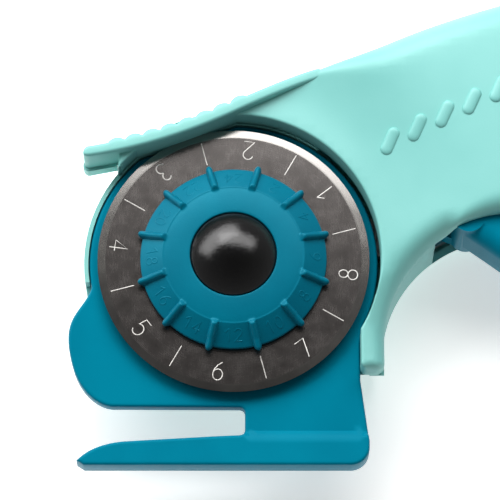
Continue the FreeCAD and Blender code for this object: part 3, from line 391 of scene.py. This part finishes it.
paints = {
    "mint": mouldedPlastic("mintMouldedPlastic", {
        "deep": "#78c2bc", "light": "#82cac4", "cloudMm": 16.0, "grainMm": 0.35, "rough": (0.40, 0.56),
        "skin": 0.35, "skinMm": 0.03, "ior": 1.53}),
    "teal": mouldedPlastic("tealMouldedPlastic", {
        "deep": "#00738d", "light": "#007d97", "cloudMm": 14.0, "grainMm": 0.3, "rough": (0.32, 0.46),
        "skin": 0.3, "skinMm": 0.03, "ior": 1.53, "sheen": 0.2, "sheenHex": "#20b4d0"}),
    "knob": mouldedPlastic("tealKnobPlastic", {
        "deep": "#00637b", "light": "#006d85", "cloudMm": 9.0, "grainMm": 0.32, "rough": (0.30, 0.46),
        "skin": 0.45, "skinMm": 0.03, "ior": 1.53, "sheen": 0.5, "sheenHex": "#58c8dc"}),
    "button": mouldedPlastic("blackGlossPlastic", {
        "deep": "#060606", "light": "#0a0a0b", "cloudMm": 5.0, "grainMm": 0.5, "rough": (0.10, 0.26),
        "skin": 0.7, "skinMm": 0.05, "ior": 1.50}),
    "nylonBlack": mouldedPlastic("blackNylon", {
        "deep": "#101112", "light": "#17181a", "cloudMm": 6.0, "grainMm": 0.3, "rough": (0.45, 0.62),
        "skin": 0.3, "skinMm": 0.03, "ior": 1.53}),
    "nylonWhite": mouldedPlastic("whiteNylon", {
        "deep": "#dcdcd6", "light": "#e6e6e1", "cloudMm": 3.0, "grainMm": 0.3, "rough": (0.4, 0.55),
        "skin": 0.3, "skinMm": 0.03, "ior": 1.53}),
    "rubber": mouldedPlastic("blackRubber", {
        "deep": "#161616", "light": "#1f1f1f", "cloudMm": 4.0, "grainMm": 0.4, "rough": (0.7, 0.85),
        "skin": 0.5, "skinMm": 0.05, "ior": 1.52}),
    "blade": polishedSteel("groundBladeSteel", {
        "deep": "#625e5c", "light": "#686462", "ringMm": 0.12, "markMm": 0.1, "filmMm": 2.2,
        "rough": (0.2, 0.31), "scratch": 0.22, "scratchMm": 0.01}),
    "edge": polishedSteel("honedEdgeSteel", {
        "deep": "#8d8a87", "light": "#9a9793", "ringMm": 0.06, "markMm": 0.06, "filmMm": 6.0,
        "rough": (0.14, 0.24), "scratch": 0.2, "scratchMm": 0.006}),
    "figure": plainMetal("engravedFigureSteel", {
        "deep": "#bab7b3", "light": "#dad7d3", "mottleMm": 0.6, "rough": (0.42, 0.6)}),
    "turned": plainMetal("turnedSteel", {
        "deep": "#a3a3a2", "light": "#bdbdbb", "mottleMm": 1.2, "rough": (0.22, 0.36)}),
    "spring": plainMetal("springSteel", {
        "deep": "#7e7f82", "light": "#9b9c9e", "mottleMm": 0.8, "rough": (0.24, 0.4)}),
    "zinc": plainMetal("zincPlatedSteel", {
        "deep": "#b4b7ba", "light": "#d0d2d4", "mottleMm": 1.6, "rough": (0.25, 0.42)}),
    "brass": plainMetal("turnedBrass", {
        "deep": "#b3924a", "light": "#cdaa5e", "mottleMm": 1.5, "rough": (0.22, 0.38)}),
}
print("materials ready:", len(paints))

# ---- CAD parts that keep their own mesh
keptPaint = {
    "blade_carriage": "nylonBlack", "blade_post": "turned", "index_hub": "brass", "detent_wheel": "brass",
    "pressure_washer": "spring", "retaining_clip": "spring", "detent_spring": "spring", "drive_pin": "turned",
    "drive_arm": "zinc", "arm_rivets": "turned", "pivot_pin": "turned", "pivot_washers": "nylonWhite",
    "return_spring": "spring", "button_spring": "spring", "stop_pad": "rubber", "shell_screws": "zinc",
    "plate_screws": "zinc",
}
for node, paintName in keptPaint.items():
    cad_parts[node].data.materials.clear()
    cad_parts[node].data.materials.append(paints[paintName])
print("kept parts painted:", len(keptPaint))

# ---- back half and trigger: their own CAD surfaces, shaded smooth
cases = {
    "back_shell": ("mintBackShell", "housing", "mint", "housing_mint"),
    "trigger": ("tealTrigger", "trigger_lever", "teal", "plate_teal"),
}
for node, (name, body, paintName, slotName) in cases.items():
    mouldedCopy(node, name, body, paints[paintName])
print("back half and trigger dressed")

# ---- front half of the housing: one smooth face that dips to the round recess, with rolled edges
front = {"seam": 12.9, "rim": 24.35, "edgeTop": 5.2, "edgeBelly": 3.7, "edgeLobe": 3.2, "edgeRecess": 0.4,
         "edgeHead": 0.7, "mouth": (33.4, 66.0), "mouthTop": 18.2, "slit": (13.9, 15.3), "skin": 0.6,
         "hang": (131.5, 15.8, 3.2), "bladeDrop": 8.5, "bladeRoom": 23.2, "lobeSide": 20.9}
dipLine = drawnCurve([(27.0, 17.8), (40.0, 20.3), (58.0, 22.0)], (1, 0), (1, 0))


def faceHeight(x, y):  # the face rises with the distance from the blade's axis
    return np.interp(np.hypot(x, y), np.append(dipLine[:, 0], 58.0), np.append(dipLine[:, 1], 22.0))


def smoothStep(value, low, high):
    t = np.clip((value - low) / (high - low), 0, 1)
    return t * t * (3 - 2 * t)


def frontLoop():  # top edge, tail, belly, rear of the head, lobe and recess, with the rounding of each
    f = front
    lowDeg = -math.degrees(math.acos(20.9 / f["rim"]))
    highDeg = math.degrees(math.acos(-19.1 / f["rim"]))
    parts = [
        (drawnCurve([(-19.1, 18.95), (-13.2, 20.4), (-5.2, 23.3), (2.7, 26.9), (13.3, 31.7)], (1, 0.2), (1, 0.45)),
         f["edgeHead"]),
        (drawnCurve([(13.3, 31.7), (29.2, 38.4), (44.0, 43.4), (86.0, 50.3)], (1, 0.45), (1, 0)), f["edgeTop"]),
        (drawnCurve([(86.0, 50.3), (116.0, 41.0), (137.5, 22.5)], (1, 0), (0.42, -1)), f["edgeTop"]),
        (threePointArc((137.5, 22.5), (141.2, 13.2), (134.0, 6.2)), f["edgeBelly"]),
        (drawnCurve([(134.0, 6.2), (125.0, 7.8), (108.0, 14.2), (88.0, 16.3), (66.0, 11.2), (46.4, 6.95)],
                    (-1, -0.05), (-1, 0)), f["edgeBelly"]),
        (drawnArc(46.4, -14.65, 21.6, 90, 180), f["edgeLobe"] + 0.5),
        (drawnLine((24.8, -14.65), (24.8, -18.0)), f["edgeLobe"]),
        (drawnArc(23.5, -17.9, 1.3, 0, -90, 0.15), f["edgeLobe"]),
        (drawnLine((23.5, -19.2), (21.9, -19.2)), f["edgeLobe"] * 0.6),
        (drawnArc(21.9, -18.2, 1.0, -90, -180, 0.15), f["edgeRecess"]),
        (drawnLine((20.9, -18.2), (20.9, f["rim"] * math.sin(math.radians(lowDeg)))), f["edgeRecess"]),
        (drawnArc(0, 0, f["rim"], lowDeg, highDeg), f["edgeRecess"]),
        (drawnLine((-19.1, f["rim"] * math.sin(math.radians(highDeg))), (-19.1, 18.95)), f["edgeHead"]),
    ]
    loop = np.vstack([p for p, _ in parts])
    radii = np.concatenate([np.full(len(p), r) for p, r in parts])
    return loop[::-1].copy(), radii[::-1].copy()


def threePointArc(a, b, c, gapMm=0.3):
    (ax, ay), (bx, by), (cx, cy) = a, b, c
    d = 2 * (ax * (by - cy) + bx * (cy - ay) + cx * (ay - by))
    aa, bb, cc = ax ** 2 + ay ** 2, bx ** 2 + by ** 2, cx ** 2 + cy ** 2
    ux = (aa * (by - cy) + bb * (cy - ay) + cc * (ay - by)) / d
    uy = (aa * (cx - bx) + bb * (ax - cx) + cc * (bx - ax)) / d
    fromDeg, midDeg, toDeg = [math.degrees(math.atan2(y - uy, x - ux)) for x, y in (a, b, c)]
    sweep = (toDeg - fromDeg) % 360
    if (midDeg - fromDeg) % 360 > sweep:
        sweep -= 360
    return drawnArc(ux, uy, math.dist(a, (ux, uy)), fromDeg, fromDeg + sweep, gapMm)


def smoothedRound(values, reach):  # running mean round a closed loop
    window = np.hanning(2 * reach + 1)
    wrapped = np.concatenate([values[-reach:], values, values[:reach]])
    return np.convolve(wrapped, window / window.sum(), "valid")


loop, radii = frontLoop()
radii = smoothedRound(radii, 14)
headPart = smoothStep(loop[:, 0], 11.0, 26.0)
onTop = loop[:, 1] > 25
radii = np.where(onTop, front["edgeHead"] + (radii.max() - front["edgeHead"]) * headPart, radii)
radii = np.where((np.hypot(loop[:, 0], loop[:, 1]) < front["rim"] + 0.9), np.minimum(radii, 0.45), radii)
radii = np.minimum(radii, faceHeight(loop[:, 0], loop[:, 1]) - front["slit"][0] - 0.1)
atMouth = (loop[:, 0] > front["mouth"][0]) & (loop[:, 0] < front["mouth"][1])
atMouth &= (loop[:, 1] > 1) & (loop[:, 1] < 17)
mouthTop = 15.0 + (front["mouthTop"] - 15.0) * smoothStep(loop[:, 0], 34.5, 38.0)
radii = np.where(atMouth, np.minimum(radii, faceHeight(loop[:, 0], loop[:, 1]) - mouthTop), radii)
hangX, hangY, hangR = front["hang"]
hangLoop = drawnArc(hangX, hangY, hangR, 0, 360, 0.4)
flat, faces, drop, loops, edgeRadii = faceOver(loop, radii, [hangLoop])
surface = np.column_stack([flat, faceHeight(flat[:, 0], flat[:, 1]) - drop])
edgeZ = faceHeight(loop[:, 0], loop[:, 1]) - edgeDrop(loop, loop, radii)[0]
# the wall is left open where the lowered blade runs into its slit
onRecess = np.hypot(loop[:, 0], loop[:, 1]) < front["rim"] + 0.05
onRecess |= np.abs(loop[:, 0] - front["lobeSide"]) < 0.01
nearBlade = onRecess & (np.hypot(loop[:, 0], loop[:, 1] + front["bladeDrop"]) < front["bladeRoom"])
nearBlade &= (loop[:, 0] > 18) & (loop[:, 1] < -7)
highRow = np.where(atMouth, np.minimum(mouthTop, edgeZ), np.minimum(front["slit"][1], edgeZ - 0.02))
every = np.ones(len(loop), bool)
walls = wallBetween(loop, [edgeZ, np.maximum(edgeZ - 0.15, highRow), highRow, np.full(len(loop), front["slit"][0]),
                           np.full(len(loop), front["seam"])],
                    [every, every, ~(nearBlade | atMouth), ~atMouth])
hangEdge = counterClockwise(hangLoop)[::-1]
hangWall = wallBetween(hangEdge, [faceHeight(hangEdge[:, 0], hangEdge[:, 1]) - 0.12,
                                  np.full(len(hangEdge), front["seam"])])
frontPiece = merged(putPiece("mintFrontShell", *together([(surface, faces.tolist()), walls, hangWall]), "housing",
                             paints["mint"], "housing_mint", 34.0))
# raised slanted bars that lie on the face of the handle
bars = {"count": 5, "from": (26.0, 19.4), "to": (44.0, 27.4), "lean": (2.0, 4.4), "halfWidth": 1.05,
        "halfHeight": 0.4}
t = np.linspace(-0.5, 0.5, 25)[:, None]
endGap = bars["halfWidth"] / np.linalg.norm(bars["lean"])  # the part of a bar that narrows to a half circle
taper = np.sqrt(np.clip(1 - (np.clip(np.abs(t) - 0.5 + endGap, 0, None) / endGap) ** 2, 0.003, 1))[:, :, None]
strokes = []
for place in np.linspace(0, 1, bars["count"]):
    run = np.array(bars["from"]) + (np.array(bars["to"]) - np.array(bars["from"])) * place + t * bars["lean"]
    strokes.append(carriedBead(np.column_stack([run, faceHeight(run[:, 0], run[:, 1])]), (0, 0, 1),
                               bars["halfWidth"] * taper, bars["halfHeight"] * taper, 16))
putPiece("raisedBars", *together(strokes), "housing", paints["mint"], "housing_mint", 60.0)
wall = frontPiece.modifiers.new("skinThickness", "SOLIDIFY")
wall.thickness = front["skin"] * mm
wall.offset = -1.0
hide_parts("front_shell")
print("front half made:", len(frontPiece.data.polygons), "faces")

# ---- thumb rest: a ridged rim carried along the top edge over the head
thumb = {"wide": 1.8, "proud": 0.35, "low": 12.9, "high": 19.6, "runFrom": 2.0, "runDrop": 0.9, "ridgeFirst": -19.4,
         "ridgeStep": 2.9, "ridges": 8, "ridgeRise": 0.6, "ridgeHalf": 1.3, "corner": 0.55, "tip": 1.05}
path = drawnCurve([(-24.0, 18.0), (-13.2, 20.55), (-5.2, 23.45), (2.7, 27.05), (10.0, 30.35), (14.5, 32.0)],
                  (1, 0.17), (1, 0.3), 0.12)
lead = np.stack([-24.0 - np.array([1.04, 1.0, 0.9, 0.75, 0.55, 0.3, 0.12]),
                 18.0 - 0.17 * np.array([1.04, 1.0, 0.9, 0.75, 0.55, 0.3, 0.12])], -1)
path = np.vstack([lead, path])


def thumbSection(path):
    # an upright rounded bar: its outer side bulges out at each ridge, its top falls at the right end, and its
    # width closes to a round tip at the left
    k = thumb
    along = np.gradient(path, axis=0)
    along /= np.linalg.norm(along, axis=1, keepdims=True)
    out = np.stack([-along[:, 1], along[:, 0]], -1)
    close = np.sqrt(np.clip(1 - (np.clip(-24.0 - path[:, 0], 0, None) / k["tip"]) ** 2, 0.0004, 1))
    ridgeAt = (path[:, 0] - k["ridgeFirst"]) / k["ridgeStep"]
    away = (ridgeAt - np.clip(np.round(ridgeAt), 0, k["ridges"] - 1)) * k["ridgeStep"] / k["ridgeHalf"]
    bulge = k["ridgeRise"] * np.clip(1 - away ** 2, 0, 1) ** 0.8
    top = k["high"] - k["runDrop"] * np.clip((path[:, 0] - k["runFrom"]) / 13.0, 0, 1)
    c = k["corner"]
    turn = np.linspace(0, math.pi / 2, 6)
    across = np.concatenate([[-0.5, 0.5, 0.5, 0.5], 0.5 - c / k["wide"] * (1 - np.cos(turn)),
                             (-0.5 + c / k["wide"] * (1 - np.sin(turn))), [-0.5, -0.5]])
    rise = np.concatenate([[0, 0, 0.4, 0.8], np.full(6, 9.0), np.full(6, 9.0), [0.8, 0.4]])
    lift = np.concatenate([[0, 0, 0, 0], c * np.sin(turn) - c, c * np.cos(turn) - c, [0, 0]])
    high = (top - k["low"])[:, None]
    z = np.where(rise[None] > 1, high + lift[None], high * rise[None]) + k["low"]
    ridge = np.clip((across + 0.5), 0, 1)[None] ** 3 * bulge[:, None] * np.clip((z - 13.4) / 0.8, 0, 1)
    side = ((across[None] - 0.5) * k["wide"] + k["proud"] + ridge) * close[:, None]
    shift = -(1 - close)[:, None] * k["wide"] / 2
    xy = path[:, None] + out[:, None] * (side + shift)[:, :, None]
    return np.concatenate([xy, z[:, :, None]], -1)


rings = thumbSection(path)
faces = gridFaces(len(path), rings.shape[1]).tolist()
last = (len(path) - 1) * rings.shape[1]
faces += [list(range(rings.shape[1]))[::-1], list(range(last, last + rings.shape[1]))]
putPiece("mintThumbRest", rings.reshape(-1, 3), faces, "housing", paints["mint"], "housing_mint", 50.0)
print("thumb rest made")

# ---- guard and foot: one flat plate whose foot thickens towards the sole
guard = {"low": 10.0, "high": 12.8, "footLow": 9.2, "footHigh": 14.15, "footStep": 13.85, "flareFrom": -28.8,
         "sole": -34.6, "edge": 0.45, "radius": 23.9, "slotHalf": 5.7, "slotDrop": 8.5, "screwHole": 2.76}


def onRim(deg, radius=None):
    r = radius or guard["radius"]
    return (r * math.cos(math.radians(deg)), r * math.sin(math.radians(deg)))


def guardLoop():
    g = guard
    parts = [
        drawnArc(0, 0, g["radius"], 190, 131), drawnLine(onRim(131), onRim(89)),
        drawnArc(0, 0, g["radius"], 89, -26),
        drawnLine(onRim(-26), (20.9, -14.0)), drawnLine((20.9, -14.0), (20.9, -20.1)),
        drawnLine((20.9, -20.1), (22.3, -30.4)), drawnLine((22.3, -30.4), (22.3, -31.6)),
        threePointArc((22.3, -31.6), (21.4, -33.7), (19.3, -34.6)), drawnLine((19.3, -34.6), (-24.4, -34.6)),
        drawnLine((-24.4, -34.6), (-25.6, -33.8)),
        drawnCurve([(-25.6, -33.8), (-22.4, -31.6), (-17.1, -30.5)], (1, 1.1), (1, 0.06)),
        drawnLine((-17.1, -30.5), (1.0, -29.45)), threePointArc((1.0, -29.45), (1.7, -29.0), (1.9, -28.4), 0.15),
        drawnLine((1.9, -28.4), (1.9, -25.6)), threePointArc((1.9, -25.6), (1.65, -24.9), (1.0, -24.6), 0.15),
        drawnLine((1.0, -24.6), (-19.8, -24.5)),
        drawnCurve([(-19.8, -24.5), (-24.3, -21.9), (-26.7, -16.7), (-26.7, -9.8), onRim(190)],
                   (-1, 0.05), (0.25, 1)),
    ]
    return counterClockwise(np.vstack(parts))


def guardTop(x, y):
    g = guard
    t = np.clip((g["flareFrom"] - 1.0 - y) / (g["flareFrom"] - 1.0 - g["sole"]), 0, 1)
    step = (g["footStep"] - g["high"]) * smoothStep(-y, -g["flareFrom"], 1.0 - g["flareFrom"])
    return g["high"] + step + (g["footHigh"] - g["footStep"]) * t


def guardLow(x, y):
    g = guard
    return g["low"] - (g["low"] - g["footLow"]) * smoothStep(-y, 28.4, 29.2)


loop = guardLoop()
radii = np.full(len(loop), guard["edge"])
half, fall = guard["slotHalf"], guard["slotDrop"]
slot = np.vstack([drawnArc(0, 0, half, 0, 180), drawnLine((-half, 0), (-half, -fall)),
                  drawnArc(0, -fall, half, 180, 360), drawnLine((half, -fall), (half, 0))])
screwPlaces = ((-15.0, 6.0), (-13.0, -12.5), (14.5, -12.0), (9.5, 16.5))
screwLoops = [drawnArc(x, y, guard["screwHole"], 0, 360, 0.4) for x, y in screwPlaces]
flat, faces, drop, loops, edgeRadii = faceOver(loop, radii, [slot] + screwLoops, 1.2)
top = np.column_stack([flat, guardTop(flat[:, 0], flat[:, 1]) - drop])
low = np.column_stack([flat, guardLow(flat[:, 0], flat[:, 1]) + drop])
parts = [(top, faces.tolist()), (low, faces[:, ::-1].tolist())]
for l, r in zip(loops, [guard["edge"]] + [0.12] * 5):
    parts.append(wallBetween(l, [guardTop(l[:, 0], l[:, 1]) - r, guardLow(l[:, 0], l[:, 1]) + r]))
guardPiece = merged(putPiece("tealGuardFoot", *together(parts), "housing", paints["teal"], "plate_teal", 40.0))
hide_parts("guard_foot_plate")
print("guard and foot made:", len(guardPiece.data.polygons), "faces")

# ---- round blade: a flat ring with a honed bevel at its rim
blade = {"outer": 22.5, "hole": 4.05, "low": 14.4, "high": 14.7, "bevel": 1.3, "edgeMm": 0.22, "around": 360}


def bladeProfile():  # from the hole's lower edge up, out over the flat, down the bevel and back below
    b = blade
    edgeLow = b["low"] + 0.001
    line = [(b["hole"], b["low"]), (b["hole"], b["high"] - 0.03), (b["hole"] + 0.03, b["high"])]
    line += [(r, b["high"]) for r in np.linspace(6.0, b["outer"] - b["bevel"] - 0.02, 14)]
    line += [(r, b["high"] - (b["high"] - edgeLow - b["edgeMm"]) * (r - b["outer"] + b["bevel"]) / b["bevel"])
             for r in np.linspace(b["outer"] - b["bevel"], b["outer"], 5)]
    line += [(b["outer"], edgeLow), (b["outer"] - 0.02, b["low"]), (12.0, b["low"]), (b["hole"], b["low"])]
    return np.array(line)


points, faces = turnedSurface(bladeProfile(), blade["around"])
bladeDisc = merged(putPiece("groundBlade", points, [f[::-1] for f in faces.tolist()], "cutter_head", paints["blade"],
                            "blade_steel", 6.0))
bladeDisc.data.materials.append(paints["edge"])
centres = np.array([p.center[:] for p in bladeDisc.data.polygons])
onBevel = (np.hypot(centres[:, 0], centres[:, 1]) > (blade["outer"] - blade["bevel"]) * mm) & (
    centres[:, 2] > (blade["low"] + 0.02) * mm)
bladeDisc.data.polygons.foreach_set("material_index", onBevel.astype(np.int32))
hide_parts("blade")
print("blade turned")

# ---- figures and ticks: thin lines of oval section, closed flat at their ends
def bend(cx, cy, rx, ry, fromDeg, toDeg, count=14):  # points on an oval arc
    a = np.radians(np.linspace(fromDeg, toDeg, count))
    return np.stack([cx + rx * np.cos(a), cy + ry * np.sin(a)], -1)


figureLines = {  # single-line figures in a cell 0.6 wide and 1 high
    "0": [bend(0.3, 0.5, 0.26, 0.5, 90, 450, 24)],
    "1": [roundedCorners([(0.06, 0.72), (0.34, 1.0), (0.34, 0.0)], 0.02)],
    "2": [np.vstack([bend(0.3, 0.73, 0.26, 0.27, 165, -32), [(0.03, 0.0), (0.6, 0.0)]])],
    "3": [np.vstack([bend(0.28, 0.77, 0.22, 0.23, 150, -75), bend(0.28, 0.27, 0.28, 0.27, 78, -150)])],
    "4": [np.array([(0.44, 0.0), (0.44, 1.0), (0.02, 0.3), (0.62, 0.3)])],
    "5": [np.vstack([[(0.54, 1.0), (0.14, 1.0), (0.08, 0.55)], bend(0.28, 0.32, 0.28, 0.32, 125, -150)])],
    "6": [np.vstack([[(0.48, 1.0), (0.26, 0.82), (0.1, 0.58)], bend(0.3, 0.3, 0.26, 0.3, 165, 525, 24)])],
    "7": [np.array([(0.02, 1.0), (0.58, 1.0), (0.24, 0.0)])],
    "8": [bend(0.3, 0.76, 0.21, 0.24, -90, 270, 20), bend(0.3, 0.26, 0.27, 0.26, 90, 450, 20)],
}
figures = {"radius": 19.15, "high": 3.1, "firstDeg": 37.5, "stepDeg": 45.0, "halfWidth": 0.09, "halfHeight": 0.025,
           "tickFrom": 17.0, "tickTo": 20.95, "tickFirstDeg": 15.0}
level = blade["high"]


def onDisc(cell, angleDeg, radius, high, wide=0.6):  # cell points to the disc, the figure's top inwards
    a = math.radians(angleDeg)
    out, right = np.array([math.cos(a), math.sin(a)]), np.array([-math.sin(a), math.cos(a)])
    flat = out * radius + (cell[:, :1] - wide / 2) * high * right - (cell[:, 1:2] - 0.5) * high * out
    return np.hstack([flat, np.full((len(flat), 1), level)])


strokes = []
for count in range(8):
    for cell in figureLines[str(count + 1)]:
        path = onDisc(cell, figures["firstDeg"] + count * figures["stepDeg"], figures["radius"], figures["high"])
        strokes.append(carriedBead(path, (0, 0, 1), figures["halfWidth"], figures["halfHeight"]))
    a = math.radians(figures["tickFirstDeg"] + count * figures["stepDeg"])
    reach = np.linspace(figures["tickFrom"], figures["tickTo"], 4)[:, None]
    path = np.hstack([reach * math.cos(a), reach * math.sin(a), np.full_like(reach, level)])
    strokes.append(carriedBead(path, (0, 0, 1), figures["halfWidth"] * 0.9, figures["halfHeight"]))
putPiece("bladeFigures", *together(strokes), "cutter_head", paints["figure"], "blade_steel")
print("blade figures laid:", len(strokes))

# ---- ribbed index knob
knob = {"hole": 7.15, "low": 15.0, "base": 15.4, "wall": 0.75, "faceEdge": 11.5, "high": 18.3, "crown": 0.42,
        "around": 720, "ribs": 12, "firstDeg": 15.0, "ribHalf": 0.62, "ribRise": 0.78, "ribReach": 0.85,
        "chamber": 8.0}


def knobProfile():
    # up the hole's lip, out over a slightly crowned face, round its edge, down the sloping flank to a short
    # wall, under the base and back up inside the button's chamber
    k = knob
    lip = [(8.0, 17.65), (k["hole"], 17.65), (k["hole"], k["high"] - 0.2)]
    lip += [(k["hole"] + 0.2 - 0.2 * math.cos(a), k["high"] - 0.2 + 0.2 * math.sin(a))
            for a in np.linspace(0.3, 1.57, 5)]
    face = [(r, k["high"] - k["crown"] * ((r - k["hole"]) / (k["faceEdge"] - k["hole"])) ** 2)
            for r in np.linspace(k["hole"] + 0.5, k["faceEdge"] - 0.5, 8)]
    flankTop, flankLow = (k["faceEdge"] + 0.2, k["high"] - 0.42), (k["base"] - 0.12, k["low"] + k["wall"])
    bendOver = roundedCorners([face[-1], (k["faceEdge"], k["high"] - k["crown"] - 0.02), flankTop], 0.4, 4)[1:]
    flank = [tuple(np.array(flankTop) + (np.array(flankLow) - flankTop) * t) for t in np.linspace(0.03, 1, 26)]
    wall = roundedCorners([flankLow, (k["base"], k["low"] + k["wall"] - 0.1), (k["base"], k["low"] + 0.1)],
                          0.12, 3)[1:]
    under = [(k["base"] - 0.1, k["low"]), (10.0, k["low"]), (4.06, k["low"]), (4.06, k["low"] + 0.9),
             (k["chamber"], k["low"] + 0.9), (8.0, 17.65)]
    return np.vstack([lip, face, bendOver, flank, wall, under])


profile = knobProfile()
flankSlope = np.array([0.55, 0.83])  # outward and up, square to the flank


def ribShape(r, angle):  # a rounded bar: sqrt(1 - (distance from its centre line / half width)^2)
    away = (np.degrees(angle) - knob["firstDeg"] + 15.0) % 30.0 - 15.0
    across = np.radians(away) * r / knob["ribHalf"]
    return np.sqrt(np.clip(1 - across ** 2, 0, 1))


def ribGain(r, z):  # nothing inside the face's edge and below the wall, full on the flank
    start = np.clip((r - knob["faceEdge"] + 0.25) / 0.7, 0, 1)
    return start * start * (3 - 2 * start) * np.clip((z - knob["low"] - 0.02) / 0.15, 0, 1)


def knobRadius(r, z, angle, step):
    reach = knob["ribReach"] * np.clip((r - 14.2) / 1.0, 0, 1)
    return r + ribShape(r, angle) * ribGain(r, z) * (knob["ribRise"] * flankSlope[0] + reach * 0.6)


def knobHeight(r, z, angle, step):
    fade = np.clip((z - knob["low"] - 0.3) / 0.5, 0, 1)
    return z + ribShape(r, angle) * ribGain(r, z) * knob["ribRise"] * flankSlope[1] * fade


points, faces = turnedSurface(profile, knob["around"], knobRadius, knobHeight)
knobPiece = merged(putPiece("ribbedKnob", points, [f[::-1] for f in faces.tolist()], "cutter_head", paints["knob"],
                            "knob_teal", 40.0))
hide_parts("index_knob")

marks = {"high": 2.1, "halfWidth": 0.14, "halfHeight": 0.05}
flankLow, flankTop = np.array([15.28, 15.75]), np.array([11.7, 17.88])


def onFlank(cell, angleDeg, wide, high):  # cell points to the cone of the flank, the figure's top inwards
    t = 0.5 + (cell[:, 1] - 0.5) * high / np.linalg.norm(flankTop - flankLow)
    rz = flankLow + (flankTop - flankLow) * t[:, None]
    a = math.radians(angleDeg) + (cell[:, 0] - wide / 2) * high / rz[:, 0]
    points = np.stack([rz[:, 0] * np.cos(a), rz[:, 0] * np.sin(a), rz[:, 1]], -1)
    normal = np.stack([flankSlope[0] * np.cos(a), flankSlope[0] * np.sin(a), np.full_like(a, flankSlope[1])], -1)
    return points, normal


strokes = []
for count in range(12):
    text = str(2 * (count + 1))
    for place, sign in enumerate(text):
        for cell in figureLines[sign]:
            path, normal = onFlank(cell + [place * 0.78, 0], 270 - 30 * (count - 5), 0.6 + 0.78 * (len(text) - 1),
                                   marks["high"])
            strokes.append(carriedBead(path, normal, marks["halfWidth"], marks["halfHeight"], 6))
putPiece("knobMarks", *together(strokes), "cutter_head", paints["knob"], "knob_teal")
print("knob made")

# ---- release button: a smooth dome with a collar below
button = {"radius": 7.05, "rim": 18.2, "rise": 3.0, "flange": 7.85, "low": 17.0, "around": 120}


def buttonProfile():
    # over the dome as a part of a circle, down its wall to the collar, and back up inside
    b = button
    big = (b["radius"] ** 2 + b["rise"] ** 2) / (2 * b["rise"])
    turn = np.linspace(0, math.asin(b["radius"] / big), 26)
    dome = np.stack([big * np.sin(turn), b["rim"] + b["rise"] - big * (1 - np.cos(turn))], -1)
    dome[-1] += (-0.03, 0.0)
    rest = [(b["radius"], b["rim"] - 0.06), (b["radius"], 17.58), (b["flange"] - 0.05, 17.58), (b["flange"], 17.53),
            (b["flange"], 17.05), (b["flange"] - 0.05, b["low"]), (6.05, b["low"]), (6.05, b["rim"] - 0.2),
            (3.0, b["rim"] + 1.0), (0.0, b["rim"] + 1.5)]
    return np.vstack([dome, rest])


points, faces = turnedSurface(buttonProfile(), button["around"])
buttonPiece = merged(putPiece("blackButton", points, [f[::-1] for f in faces.tolist()], "button", paints["button"],
                              "button_black", 40.0))
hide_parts("release_button")
print("button made")

# ---- plain floor, soft light and the camera
room = {"floorHex": "#f4f4f2", "worldTop": 0.08, "worldSide": 0.42, "keyWatts": 4.9,
        "stripWatts": 0.52, "floorGlow": 0.5}
floorMesh = bpy.data.meshes.new("paleFloor")
floorMesh.from_pydata([(-2, -2, 0), (2, -2, 0), (2, 2, 0), (-2, 2, 0)], [], [(0, 1, 2, 3)])
floor = bpy.data.objects.new("paleFloor", floorMesh)
bpy.context.scene.collection.objects.link(floor)
floorPaint, _, floorSurface, _ = newMaterial("paleFloorPaint")
floorSurface.inputs["Base Color"].default_value = linearColour(room["floorHex"])
floorSurface.inputs["Roughness"].default_value = 0.9
floorSurface.inputs["Specular IOR Level"].default_value = 0.0
floorSurface.inputs["Emission Color"].default_value = (1.0, 1.0, 1.0, 1.0)
floorSurface.inputs["Emission Strength"].default_value = room["floorGlow"]
floorMesh.materials.append(floorPaint)
floor.location.z = -0.00002

world = bpy.data.worlds.new("softRoom")
bpy.context.scene.world = world
world.use_nodes = True
sky = world.node_tree
sky.nodes.clear()
direction = addNode(sky, "ShaderNodeTexCoord").outputs["Generated"]
height = addNode(sky, "ShaderNodeSeparateXYZ", {0: direction})
glow = addNode(sky, "ShaderNodeMapRange", {"Value": height.outputs["Z"], "From Min": 0.0, "From Max": 1.0,
                                           "To Min": room["worldSide"], "To Max": room["worldTop"]})
back = addNode(sky, "ShaderNodeBackground", {"Color": (1.0, 1.0, 1.0, 1.0), "Strength": glow.outputs["Result"]})
addNode(sky, "ShaderNodeOutputWorld", {"Surface": back.outputs[0]})


def softLight(name, place, wide, high, watts):  # a softbox aimed at the blade, its long side level
    data = bpy.data.lights.new(name, "AREA")
    data.shape = "RECTANGLE"
    data.size = wide
    data.size_y = high
    data.energy = watts
    lamp = bpy.data.objects.new(name, data)
    lamp.location = place
    lamp.rotation_euler = (Vector((0.01, 0.0, 0.01)) - Vector(place)).to_track_quat("-Z", "Y").to_euler()
    bpy.context.scene.collection.objects.link(lamp)


softLight("keySoftbox", (-0.28, 0.42, 0.4), 0.9, 0.36, room["keyWatts"])
softLight("nearStrip", (0.03, 0.152, 0.21), 0.3, 0.115, room["stripWatts"])

camera = {"aim": (2.73, 1.73, 14.6), "tiltDeg": 16.5, "away": 0.62, "wide": 0.0828}
cameraData = bpy.data.cameras.new("viewCamera")
cameraData.sensor_width = 36.0
cameraData.lens = 36.0 * camera["away"] / camera["wide"]
viewCamera = bpy.data.objects.new("viewCamera", cameraData)
tilt = math.radians(camera["tiltDeg"])
aim = Vector(camera["aim"]) * mm
towards = Vector((0.0, -math.sin(tilt), math.cos(tilt)))
viewCamera.location = aim + towards * camera["away"]
viewCamera.rotation_euler = (-towards).to_track_quat("-Z", "Y").to_euler()
cameraData.clip_start, cameraData.clip_end = 0.01, 20.0
bpy.context.scene.collection.objects.link(viewCamera)
bpy.context.scene.camera = viewCamera
bpy.context.scene.view_settings.view_transform = "Standard"
print("room, lights and camera ready")
